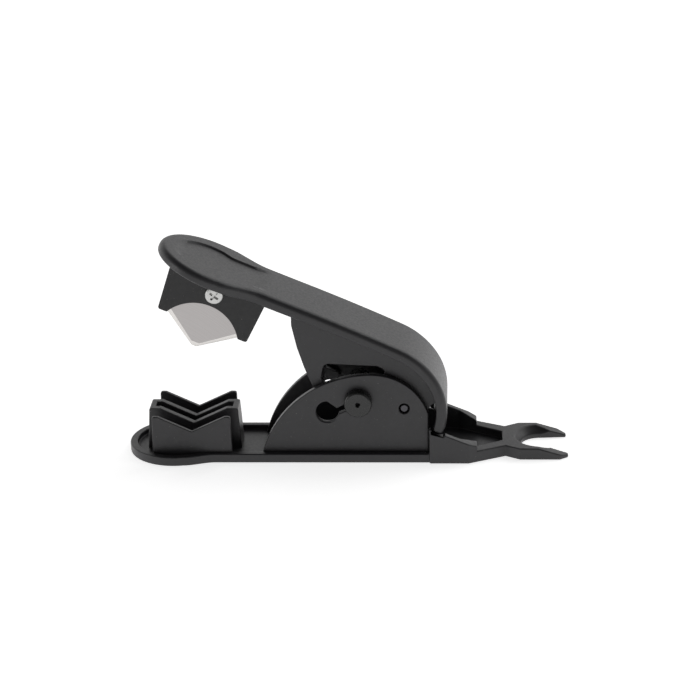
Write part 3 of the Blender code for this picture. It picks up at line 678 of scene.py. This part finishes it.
def lever_shell():
    """The lever's rolled plate: an outline with rounded edges, bent along the top line."""
    upper = paddle(LEVER_NOSE_R, LEVER_NOSE_X, LEVER_HALF, LEVER_WAIST_X) + [(LEVER_END_S, LEVER_HALF)]
    corner = len(upper) - 1
    loop = mirrored(upper)
    loop = rounded(loop, {corner: LEVER_CORNER_R, corner + 1: LEVER_CORNER_R})
    loop = list(reversed(dense(loop, OUTLINE_STEP)))
    steps = 7
    rings = []
    for step in range(steps + 1):
        turn = math.radians(90.0 * step / steps)
        rings.append((LEVER_EDGE_R * (1.0 - math.sin(turn)),
                      lambda s, t=turn: LEVER_EDGE_R * (1.0 - math.cos(t))))
    for step in range(4):
        turn = math.radians(90.0 - 30.0 * step)
        rings.append((LEVER_LIP_R * (1.0 - math.sin(turn)),
                      lambda s, t=turn: lever_thickness(s) - LEVER_LIP_R * (1.0 - math.cos(t))))
    bm = bmesh.new()
    rows = []
    for distance, depth in rings:
        flat = inset(loop, distance)
        rows.append([((s, y), bm.verts.new(on_lever(s, y, depth(s)))) for s, y in flat])
    for above, below in zip(rows, rows[1:]):
        for i in range(len(loop)):
            j = (i + 1) % len(loop)
            bm.faces.new((above[i][1], above[j][1], below[j][1], below[i][1]))
    grid = []
    for column in range(int((LEVER_END_S + GRID_LEAD) / GRID_PITCH)):
        for row in range(-GRID_HALF_ROWS, GRID_HALF_ROWS + 1):
            s = GRID_START + GRID_PITCH * column
            y = GRID_PITCH * (row + 0.5 * (column % 2))
            if edge_clear(s, y):
                grid.append((s, y))
    lines = []
    for level in (0.0, DISH_WALL):
        rim = arc((DISH_X, 0.0), DISH_R - level, 180.0, NOSE_LEAVE, 34)
        rim += [(s, dish_half(s) - level)
                for s in (DISH_X + DISH_RIM_LEAD + GRID_PITCH * k for k in range(20))]
        lines += [rim, [(s, -y) for s, y in rim]]
    sheet_over(bm, rows[0], grid, lines, lambda s, y: on_lever(s, y, dish_depth(s, y)))
    under = [(s, y) for s, y in grid if s > UNDER_START and round((s - GRID_START) / GRID_PITCH) % 2 == 0]
    sheet_over(bm, rows[-1], under, [], lambda s, y: on_lever(s, y, lever_thickness(s)))
    bmesh.ops.remove_doubles(bm, verts=bm.verts, dist=SAME_POINT)
    face_outwards(bm)
    return new_object("lever_moulding", bm)


def dish_half(s):
    """Half width of the thumb dish."""
    return dish_inside(s, 0.0)


def edge_clear(s, y):
    """True where a point of the top is clear of the lever's edge and of the dish's wall."""
    lever_half = LEVER_HALF - LEVER_EDGE_R
    if s < LEVER_WAIST_X:
        lever_half = LEVER_NOSE_R - LEVER_EDGE_R
        if s < LEVER_NOSE_X and math.hypot(s - LEVER_NOSE_X, y) > lever_half - EDGE_AIR:
            return False
        if s > LEVER_NOSE_X:
            taper = [(LEVER_NOSE_X, lever_half), (WAIST_TAPER_X, LEVER_HALF - LEVER_EDGE_R)]
            lever_half = between(taper, s)
    if abs(y) > lever_half - EDGE_AIR or s > LEVER_END_S - LEVER_EDGE_R - EDGE_AIR:
        return False
    deep = dish_inside(s, y)
    return s > DISH_END_X or not -WALL_AIR < deep < DISH_WALL + WALL_AIR


def skirt(low):
    """A side wall inside the lever: hooked front leg, lock window, hub and rear edge."""
    hub = arc((PIVOT.x, PIVOT.z), HUB_R, *HUB_SPAN, 60)
    outline = SKIRT_LEG + SKIRT_HOOK + SKIRT_WINDOW + hub + SKIRT_REAR
    first = len(SKIRT_LEG) + len(SKIRT_HOOK)
    outline = rounded(outline, {**SKIRT_LEG_RADII, first: WINDOW_FRONT_R, first + 2: WINDOW_REAR_R})
    return soften(prism("skirt", [outline], low, low + SKIRT_T, "XZ"), SKIRT_BEVEL)


def lever_web():
    """Cross wall that joins the two legs behind their front edges."""
    reach = SKIRT_OUT - WEB_INSET
    return prism("web", [WEB], -reach, reach, "XZ")


def opened(obj):
    """Turn a piece that was modelled with the lever closed to the open rest pose."""
    turn = Matrix.Translation(PIVOT) @ Matrix.Rotation(OPEN_ANGLE, 4, "Y") @ Matrix.Translation(-PIVOT)
    obj.data.transform(turn)
    return obj


def lever_moulding(looks):
    lever = lever_shell()
    add(lever, skirt(-SKIRT_OUT), skirt(SKIRT_OUT - SKIRT_T), lever_web())
    bore = [(0.0, -HUB_REACH), (PIVOT_HOLE_R, -HUB_REACH), (PIVOT_HOLE_R, HUB_REACH), (0.0, HUB_REACH)]
    cut(lever, along_y(lathe("hub_cut", bore, 48), PIVOT.x, PIVOT.z))
    opened(shade(lever, *looks))
    return ride_as(lever, "lever", "lever_handle")


def lathe(name, profile, steps=64):
    """Turn a closed profile of (radius, height) round the Z axis."""
    bm = bmesh.new()
    ring = [bm.verts.new((radius, 0.0, height)) for radius, height in profile]
    for index in range(len(ring) - (1 if profile[0][0] == 0.0 else 0)):
        bm.edges.new((ring[index], ring[(index + 1) % len(ring)]))
    bmesh.ops.spin(bm, geom=bm.verts[:] + bm.edges[:], cent=(0, 0, 0), axis=(0, 0, 1), dvec=(0, 0, 0),
                   angle=2.0 * math.pi, steps=steps)
    bmesh.ops.remove_doubles(bm, verts=bm.verts, dist=SAME_POINT)
    face_outwards(bm)
    return new_object(name, bm)


def along_y(obj, x, z, y=0.0, flip=False):
    """Lay a turned piece's axis along Y, its top towards -Y, or towards +Y when flipped."""
    stand = Matrix.Rotation(math.pi / 2 * (-1 if flip else 1), 4, "X")
    obj.data.transform(Matrix.Translation((x, y, z)) @ stand)
    return obj


def holder_half(name, low, high):
    """One side of the blade holder: a trapezoid with a round mouth above the cutting edges."""
    reach = math.degrees(math.asin((HOLDER_FOOT_Z - HOLDER_ARC_Z) / HOLDER_ARC_R))
    outline = [(HOLDER_X + HOLDER_HALF_TOP, HOLDER_TOP_Z), (HOLDER_X - HOLDER_HALF_TOP, HOLDER_TOP_Z),
               (HOLDER_X - HOLDER_HALF_FOOT, HOLDER_FOOT_Z)]
    outline += arc((HOLDER_X, HOLDER_ARC_Z), HOLDER_ARC_R, 180.0 - reach, reach, 64)
    outline += [(HOLDER_X + HOLDER_HALF_FOOT, HOLDER_FOOT_Z)]
    outline = rounded(outline, {2: HOLDER_TOE_R, len(outline) - 1: HOLDER_TOE_R})
    return prism(name, [outline], low, high, "XZ")


def screw_hole(radius, low, high, steps=48):
    """Cutter for a hole on the blade screw's axis."""
    hole = lathe("hole_cut", [(0.0, low), (radius, low), (radius, high), (0.0, high)], steps)
    return along_y(hole, HOLDER_X, SCREW_Z, flip=True)


def holder(looks):
    """The carrier, which bridges over the blade's back, and the clamp in front of the blade."""
    inner = BLADE_T / 2.0 + GAP
    carrier = holder_half("holder_carrier", inner, HOLDER_OUT)
    left, right = HOLDER_X - HOLDER_HALF_TOP, HOLDER_X + HOLDER_HALF_TOP
    bridge = [(left + BRIDGE_INSET, BRIDGE_FOOT_Z), (right - BRIDGE_INSET, BRIDGE_FOOT_Z),
              (right, HOLDER_TOP_Z), (left, HOLDER_TOP_Z)]
    add(carrier, prism("bridge", [bridge], -BLADE_T / 2.0, inner + BRIDGE_OVERLAP, "XZ"))
    beyond = HOLDER_OUT + 1 * MM
    cut(carrier, screw_hole(SCREW_R + GAP, -1 * MM, beyond),
        screw_hole(NUT_R + GAP, NUT_POCKET_FLOOR, beyond, 6))
    soften(weld(carrier), CARRIER_BEVEL)
    clamp = holder_half("holder_clamp", -HOLDER_OUT, -inner)
    cut(clamp, screw_hole(SCREW_R + GAP, -beyond, 0.0))
    soften(weld(clamp), CLAMP_BEVEL)
    for piece, node in ((carrier, "blade_holder"), (clamp, "blade_clamp")):
        opened(shade(piece, *looks))
        ride_as(piece, "lever", node)


def cutting_blade(looks):
    """Five-sided blade: two flat faces, two ground strips a side and a thin flat at the edge."""
    slope = (BLADE_SHOULDER_Z - BLADE_TIP_Z) / (BLADE_HALF - BLADE_TIP_HALF)
    rise = BLADE_EDGE * math.hypot(1.0, slope)
    shrink = BLADE_EDGE * (math.hypot(1.0, slope) - 1.0) / slope
    flat = [(-BLADE_HALF, BLADE_SHOULDER_Z + rise), (-BLADE_TIP_HALF - shrink, BLADE_TIP_Z + BLADE_EDGE),
            (BLADE_TIP_HALF + shrink, BLADE_TIP_Z + BLADE_EDGE), (BLADE_HALF, BLADE_SHOULDER_Z + rise)]
    keen = [(-BLADE_HALF, BLADE_SHOULDER_Z), (-BLADE_TIP_HALF, BLADE_TIP_Z), (BLADE_TIP_HALF, BLADE_TIP_Z),
            (BLADE_HALF, BLADE_SHOULDER_Z)]
    back = [(BLADE_HALF, BLADE_BACK_Z), (-BLADE_HALF, BLADE_BACK_Z)]
    bm = bmesh.new()
    rings = []
    for points, y in ((flat + back, BLADE_T / 2.0), (keen, EDGE_FLAT / 2.0), (keen, -EDGE_FLAT / 2.0),
                      (flat + back, -BLADE_T / 2.0)):
        rings.append([bm.verts.new((HOLDER_X + x, y, z)) for x, z in points])
    near, near_edge, far_edge, far = rings
    bm.faces.new(near)
    bm.faces.new(far)
    for step in range(3):
        for one, two in ((near, near_edge), (near_edge, far_edge), (far_edge, far)):
            bm.faces.new((one[step], one[step + 1], two[step + 1], two[step]))
    bm.faces.new((near[4], near[5], far[5], far[4]))
    bm.faces.new((near[3], near[4], far[4], far[3], far_edge[3], near_edge[3]))
    bm.faces.new((near[5], near[0], near_edge[0], far_edge[0], far[0], far[5]))
    face_outwards(bm)
    made = new_object("cutting_blade", bm)
    hole = disc((HOLDER_X, SCREW_Z), SCREW_R + GAP)
    cut(made, prism("screw_hole_cut", [hole], -BLADE_T, BLADE_T, "XZ"))
    shade(made, *looks)
    for polygon in made.data.polygons:
        if 0.5 < abs(polygon.normal.y) < 0.99:
            polygon.material_index = 1
    opened(made)
    return ride_as(made, "lever", "blade")


def round_edge(radius, height, fillet, steps=6, down=False):
    """Profile points round a turned piece's outer edge, from its face to its side."""
    points = []
    for step in range(steps + 1):
        turn = math.radians(90.0 * step / steps)
        drop = fillet * (1.0 - math.cos(turn))
        points.append((radius - fillet * (1.0 - math.sin(turn)), height + (drop if down else -drop)))
    return points


def blade_fixings(looks):
    """The pan head screw with its cross recess, and the hex nut in the carrier's pocket."""
    face = HOLDER_OUT + GAP
    profile = [(radius, face + height) for radius, height in HEAD_CROWN]
    profile += round_edge(SCREW_HEAD_R, face + HEAD_RISE, HEAD_FILLET)
    profile += [(SCREW_HEAD_R, face), (SCREW_R, face), (SCREW_R, SHANK_END + SHANK_CHAMFER),
                (SCREW_R - SHANK_CHAMFER, SHANK_END), (0.0, SHANK_END)]
    screw = along_y(lathe("pan_head_screw", profile), HOLDER_X, SCREW_Z)
    arm, width = CROSS_ARM, CROSS_HALF_WIDTH
    cross = [(width, width), (width, arm), (-width, arm), (-width, width), (-arm, width), (-arm, -width),
             (-width, -width), (-width, -arm), (width, -arm), (width, -width), (arm, -width), (arm, width)]
    cross = rounded(cross, {i: (CROSS_OUTER_R if i % 3 else CROSS_INNER_R) for i in range(len(cross))}, 3)
    turn = Matrix.Rotation(CROSS_TURN, 2)
    spun = [turn @ Vector(point) for point in cross]
    recess = [(HOLDER_X + point.x, SCREW_Z + point.y) for point in spun]
    cut(screw, prism("cross_cut", [recess], -face - 2 * MM, -face - CROSS_FLOOR, "XZ"))
    soften(weld(screw, flat=0.1), SCREW_BEVEL, 2, SCREW_BEVEL_ANGLE)
    opened(shade(screw, *looks))
    ride_as(screw, "lever", "blade_screw")
    loops = [disc((HOLDER_X, SCREW_Z), NUT_R, 6), disc((HOLDER_X, SCREW_Z), SCREW_R + GAP, 32)]
    nut = soften(prism("hex_nut", loops, *NUT_SPAN, "XZ"), NUT_BEVEL)
    opened(shade(nut, *looks))
    ride_as(nut, "lever", "blade_nut")


# ---------------------------------------------------------------- pins, lock and spring
def pin_profile(radius, half, chamfer):
    """Profile of a round pin with chamfered ends."""
    return [(0.0, -half), (radius - chamfer, -half), (radius, chamfer - half), (radius, half - chamfer),
            (radius - chamfer, half), (0.0, half)]


def pins(looks):
    """The lever's pivot pin and the lock's cross pin."""
    reach = CHEEK_OUT - PIVOT_SETBACK
    pivot = along_y(lathe("pivot_shaft", pin_profile(PIVOT_PIN_R, reach, PIVOT_CHAMFER)), PIVOT.x, PIVOT.z)
    ride_as(shade(pivot, *looks), "base", "pivot_pin")
    reach = KNOB_BACK + KNOB_T - PIN_SETBACK
    shaft = lathe("lock_shaft", pin_profile(LOCK_PIN_R, reach, LOCK_CHAMFER))
    lock = along_y(shaft, LOCK_OPEN.x, LOCK_OPEN.z)
    ride_as(shade(lock, *looks), "lock", "lock_pin")


def knobs(looks):
    """Round buttons with a rounded rim and a face that dips towards a small centre hole."""
    for name, flip in (("lock_button_front", False), ("lock_button_rear", True)):
        profile = [(KNOB_HOLE_R, KNOB_T - KNOB_BORE_DEPTH)]
        profile += [(radius, KNOB_T - depth) for radius, depth in KNOB_DIP]
        profile += round_edge(KNOB_R, KNOB_T, KNOB_RIM_R, 10)
        profile += list(reversed(round_edge(KNOB_R, 0.0, KNOB_FOOT_R, 3, down=True)))
        profile += [(LOCK_PIN_R + GAP, 0.0), (LOCK_PIN_R + GAP, KNOB_T - KNOB_BORE_DEPTH)]
        knob = lathe(name, profile)
        along_y(knob, LOCK_OPEN.x, LOCK_OPEN.z, KNOB_BACK if flip else -KNOB_BACK, flip)
        ride_as(shade(knob, *looks), "lock", name.replace("button", "knob"))


def sleeve(looks):
    """The bush that keeps the spring's coil round the thin pivot pin."""
    half = SKIRT_OUT - SKIRT_T - GAP
    chamfer = PIVOT_CHAMFER
    profile = [(PIVOT_HOLE_R, -half), (BUSH_R - chamfer, -half), (BUSH_R, chamfer - half),
               (BUSH_R, half - chamfer), (BUSH_R - chamfer, half), (PIVOT_HOLE_R, half)]
    bush = along_y(lathe("spring_sleeve", profile), PIVOT.x, PIVOT.z)
    ride_as(shade(bush, *looks), "base", "spring_bush")


def coil(looks):
    """Torsion spring: a leg down to the pan floor, turns round the bush and a leg under the lever."""
    start = SPRING_START
    total = 2.0 * math.pi * SPRING_TURNS + SPRING_EXTRA
    span = (SPRING_TURNS + 0.3) * (SPRING_WIRE + SPRING_AIR)
    count = TURN_STEPS * SPRING_TURNS
    points = []
    for step in range(count + 1):
        t = step / count
        angle = start + total * t
        points.append(Vector((PIVOT.x + SPRING_R * math.cos(angle), span * (t - 0.5),
                              PIVOT.z + SPRING_R * math.sin(angle))))
    down = Vector((math.sin(start), 0.0, -math.cos(start)))
    drop = points[0].z - PAN_FLOOR - SPRING_WIRE / 2.0 - GAP
    points.insert(0, points[0] + down * (drop / abs(down.z)))
    end = start + total
    points.append(points[-1] + Vector((-math.sin(end), 0.0, math.cos(end))) * SPRING_LEG)
    curve = bpy.data.curves.new("return_spring", "CURVE")
    curve.dimensions = "3D"
    curve.bevel_depth = SPRING_WIRE / 2.0
    curve.bevel_resolution = 4
    curve.use_fill_caps = True
    spline = curve.splines.new("POLY")
    spline.points.add(len(points) - 1)
    for point, at in zip(spline.points, points):
        point.co = (*at, 1.0)
    guide = bpy.data.objects.new("guide", curve)
    bpy.context.scene.collection.objects.link(guide)
    bpy.context.view_layer.update()
    mesh = bpy.data.meshes.new_from_object(guide.evaluated_get(bpy.context.evaluated_depsgraph_get()))
    bpy.data.objects.remove(guide)
    spring = bpy.data.objects.new("return_spring", mesh)
    bpy.context.scene.collection.objects.link(spring)
    weld(spring, flat=0.01)
    shade(spring, *looks)
    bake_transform(spring)
    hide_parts("torsion_spring")


# ---------------------------------------------------------------- materials
# noise scales, in features per metre
CLOUD_SCALE = 120.0
FLECK_SCALE = 2600.0
GLOSS_SCALE = 1500.0
GRAIN_SCALE = 5200.0
METAL_SCALE = 4200.0
RING_SCALE = 3800.0
NOISE_SPAN = (0.3, 0.7)              # the part of a noise's range that is used
FLECK_SPAN = (0.74, 0.80)            # only the peaks of the noise become specks
DUST = (0.12, 0.115, 0.11)
CLOUD_LIFT = 1.45                    # how much paler the clouds are
CLOUD_SHARE = 0.35
FLECK_SHARE = 0.8
GRAIN_HEIGHT = 0.03 * MM
GRAIN_STRENGTH = 0.35
MARK_HEIGHT = 0.02 * MM
MARK_STRENGTH = 0.12
STREAK_DARK = 0.93
STREAK_PALE = 1.05
RING_CENTRE = (-62 * MM, 0.0, 5 * MM)    # the grinding marks are wide rings round this point


def plain(name, colour, roughness):
    made = bpy.data.materials.new(name)
    made.use_nodes = True
    shader = made.node_tree.nodes["Principled BSDF"]
    shader.inputs["Base Color"].default_value = (*colour, 1.0)
    shader.inputs["Roughness"].default_value = roughness
    return made


def node(tree, kind, **values):
    """A shader node with its sockets, or else its settings, given by name."""
    made = tree.nodes.new(kind)
    for name, value in values.items():
        if name in made.inputs:
            made.inputs[name].default_value = value
        else:
            setattr(made, name, value)
    return made


def noise_at(tree, place, scale, detail=2.0):
    made = node(tree, "ShaderNodeTexNoise", Scale=scale, Detail=detail)
    tree.links.new(place, made.inputs["Vector"])
    return made.outputs["Fac"]


def ranged(tree, value, low, high, to_low, to_high):
    """Map a value from one range to another."""
    made = node(tree, "ShaderNodeMapRange")
    for name, number in (("From Min", low), ("From Max", high), ("To Min", to_low), ("To Max", to_high)):
        made.inputs[name].default_value = number
    tree.links.new(value, made.inputs["Value"])
    return made.outputs["Result"]


def tinted(tree, colour, share, other):
    """Mix a plain colour towards another one by a share that varies over the surface."""
    made = node(tree, "ShaderNodeMix", data_type="RGBA")
    made.inputs["A"].default_value = (*colour, 1.0)
    made.inputs["B"].default_value = (*other, 1.0)
    tree.links.new(share, made.inputs["Factor"])
    return made.outputs["Result"]


def plastic(name, colour, roughness, grain):
    """Satin moulded plastic: spark-eroded grain, faint clouding and a few pale specks of dust."""
    made = plain(name, colour, roughness)
    tree = made.node_tree
    shader = tree.nodes["Principled BSDF"]
    place = node(tree, "ShaderNodeTexCoord").outputs["Object"]
    clouds = ranged(tree, noise_at(tree, place, CLOUD_SCALE, 3.0), *NOISE_SPAN, 0.0, CLOUD_SHARE)
    cloudy = tinted(tree, colour, clouds, [c * CLOUD_LIFT for c in colour])
    flecks = ranged(tree, noise_at(tree, place, FLECK_SCALE, 1.0), *FLECK_SPAN, 0.0, FLECK_SHARE)
    mix = node(tree, "ShaderNodeMix", data_type="RGBA")
    tree.links.new(cloudy, mix.inputs["A"])
    mix.inputs["B"].default_value = (*DUST, 1.0)
    tree.links.new(flecks, mix.inputs["Factor"])
    tree.links.new(mix.outputs["Result"], shader.inputs["Base Color"])
    gloss = noise_at(tree, place, GLOSS_SCALE, 2.0)
    rough = ranged(tree, gloss, *NOISE_SPAN, roughness - 0.05, roughness + 0.07)
    tree.links.new(rough, shader.inputs["Roughness"])
    bump = node(tree, "ShaderNodeBump", Strength=GRAIN_STRENGTH * grain, Distance=GRAIN_HEIGHT)
    tree.links.new(noise_at(tree, place, GRAIN_SCALE, 2.0), bump.inputs["Height"])
    tree.links.new(bump.outputs["Normal"], shader.inputs["Normal"])
    return made


def steel(name, colour, roughness, marks):
    """Bare or plated steel, with grinding marks in wide rings or a fine even finish."""
    made = plain(name, colour, roughness)
    tree = made.node_tree
    shader = tree.nodes["Principled BSDF"]
    shader.inputs["Metallic"].default_value = 1.0
    place = node(tree, "ShaderNodeTexCoord").outputs["Object"]
    if marks == "rings":
        centre = node(tree, "ShaderNodeVectorMath", operation="DISTANCE")
        centre.inputs[1].default_value = RING_CENTRE
        tree.links.new(place, centre.inputs[0])
        lines = node(tree, "ShaderNodeTexNoise", noise_dimensions="1D", Scale=1.0, Detail=4.0)
        spread = node(tree, "ShaderNodeMath", operation="MULTIPLY")
        spread.inputs[1].default_value = RING_SCALE
        tree.links.new(centre.outputs["Value"], spread.inputs[0])
        tree.links.new(spread.outputs["Value"], lines.inputs["W"])
        height = lines.outputs["Fac"]
    else:
        height = noise_at(tree, place, METAL_SCALE, 3.0)
    shade_of = ranged(tree, height, *NOISE_SPAN, 0.0, 1.0)
    streaks = tinted(tree, [c * STREAK_DARK for c in colour], shade_of, [c * STREAK_PALE for c in colour])
    tree.links.new(streaks, shader.inputs["Base Color"])
    rough = ranged(tree, height, *NOISE_SPAN, roughness - 0.05, roughness + 0.06)
    tree.links.new(rough, shader.inputs["Roughness"])
    bump = node(tree, "ShaderNodeBump", Strength=MARK_STRENGTH, Distance=MARK_HEIGHT)
    tree.links.new(height, bump.inputs["Height"])
    tree.links.new(bump.outputs["Normal"], shader.inputs["Normal"])
    return made


# ---------------------------------------------------------------- studio
CAMERA_TARGET = (1.2 * MM, 0.0, 29.33 * MM)
CAMERA_AZIMUTH = 0.058116            # radians, to the right of straight in front
CAMERA_ELEVATION = 0.375234
CAMERA_ROLL = math.radians(-1.362)
CAMERA_DISTANCE = 556.755 * MM
CAMERA_LENS = 103.08
FLOOR_GLOW = 0.75
HORIZON = 0.75                       # brightness of the sky, which darkens overhead
ZENITH = 0.08
SKY_FALL = (0.45, 0.8)               # sine of the height where the sky starts and stops darkening
FRONT_SHARE = 0.25                   # the sky's strength in front of the object and behind it
BACK_SHARE = 1.3
KEY_LIGHT = {"size": (0.8, 0.8), "at": (0.7, 0.5, 0.9), "aim": (0, 0, 0.03), "power": 3.4}
LEFT_LIGHT = {"size": (0.3, 0.3), "at": (-0.8, -0.25, 0.15), "aim": (-0.05, 0, 0.03), "power": 0.8}


def camera():
    target = Vector(CAMERA_TARGET)
    azimuth, elevation = CAMERA_AZIMUTH, CAMERA_ELEVATION
    data = bpy.data.cameras.new("camera")
    data.lens = CAMERA_LENS
    data.sensor_width = 36.0
    data.clip_start = 0.01
    made = bpy.data.objects.new("camera", data)
    bpy.context.scene.collection.objects.link(made)
    away = Vector((math.sin(azimuth) * math.cos(elevation), -math.cos(azimuth) * math.cos(elevation),
                   math.sin(elevation)))
    roll = Matrix.Rotation(CAMERA_ROLL, 4, "Z")
    look = away.to_track_quat("Z", "Y").to_matrix().to_4x4()
    made.matrix_world = Matrix.Translation(target + away * CAMERA_DISTANCE) @ look @ roll
    bpy.context.scene.camera = made


def light(name, size, at, aim, power):
    data = bpy.data.lights.new(name, "AREA")
    data.shape = "RECTANGLE"
    data.size, data.size_y = size
    data.energy = power
    made = bpy.data.objects.new(name, data)
    bpy.context.scene.collection.objects.link(made)
    made.location = at
    made.rotation_euler = (Vector(aim) - Vector(at)).to_track_quat("-Z", "Y").to_euler()


def studio():
    """A glowing white floor, a sky that is brighter behind the object, and two soft lights."""
    bm = bmesh.new()
    bmesh.ops.create_grid(bm, x_segments=1, y_segments=1, size=3.0)
    floor = new_object("floor", bm)
    look = plain("floor_white", (0.9, 0.9, 0.9), 0.9)
    shader = look.node_tree.nodes["Principled BSDF"]
    shader.inputs["Emission Color"].default_value = (1.0, 1.0, 1.0, 1.0)
    shader.inputs["Emission Strength"].default_value = FLOOR_GLOW
    floor.data.materials.append(look)
    world = bpy.data.worlds.new("studio")
    bpy.context.scene.world = world
    world.use_nodes = True
    nodes, links = world.node_tree.nodes, world.node_tree.links
    place = nodes.new("ShaderNodeTexCoord")
    parts = nodes.new("ShaderNodeSeparateXYZ")
    ramp = nodes.new("ShaderNodeValToRGB")
    links.new(place.outputs["Generated"], parts.inputs[0])
    links.new(parts.outputs["Z"], ramp.inputs[0])
    links.new(ramp.outputs[0], nodes["Background"].inputs["Color"])
    ramp.color_ramp.elements[0].position = 0.0
    ramp.color_ramp.elements[0].color = (HORIZON, HORIZON, HORIZON, 1.0)
    ramp.color_ramp.elements[1].position = SKY_FALL[1]
    ramp.color_ramp.elements[1].color = (ZENITH, ZENITH, ZENITH, 1.0)
    middle = ramp.color_ramp.elements.new(SKY_FALL[0])
    middle.color = (HORIZON, HORIZON, HORIZON, 1.0)
    depth = nodes.new("ShaderNodeMapRange")
    limits = {"From Min": -0.5, "From Max": 0.5, "To Min": FRONT_SHARE, "To Max": BACK_SHARE}
    for name, number in limits.items():
        depth.inputs[name].default_value = number
    links.new(parts.outputs["Y"], depth.inputs["Value"])
    links.new(depth.outputs["Result"], nodes["Background"].inputs["Strength"])
    light("key", **KEY_LIGHT)
    light("left", **LEFT_LIGHT)
    bpy.context.scene.view_settings.view_transform = "Standard"


camera()
studio()
NYLON = plastic("black_nylon", (0.021, 0.0203, 0.0222), 0.40, 1.0)
# paler copy of the nylon for the rounded edges: a painted highlight
NYLON_EDGE_HIGHLIGHT = plastic("nylon_painted_edge_highlight", (0.030, 0.029, 0.030), 0.32, 0.6)
HOLDER_NYLON = plastic("holder_nylon", (0.006, 0.0058, 0.0066), 0.46, 0.5)
KNOB = plastic("knob_plastic", (0.009, 0.0092, 0.0092), 0.26, 0.4)
STEEL = steel("blade_steel", (0.44, 0.42, 0.415), 0.36, "rings")
GROUND = steel("ground_edge", (0.70, 0.68, 0.66), 0.30, "fine")
ZINC = steel("zinc", (0.52, 0.52, 0.51), 0.28, "fine")
DARK_STEEL = steel("dark_steel", (0.09, 0.088, 0.095), 0.45, "fine")
SPRING_STEEL = steel("spring_steel", (0.42, 0.42, 0.43), 0.33, "fine")
base_moulding((NYLON, NYLON_EDGE_HIGHLIGHT))
lever_moulding((NYLON, NYLON_EDGE_HIGHLIGHT))
holder((HOLDER_NYLON, HOLDER_NYLON))
cutting_blade((STEEL, GROUND))
blade_fixings((ZINC, ZINC))
pins((DARK_STEEL,))
knobs((KNOB,))
sleeve((KNOB,))
coil((SPRING_STEEL,))
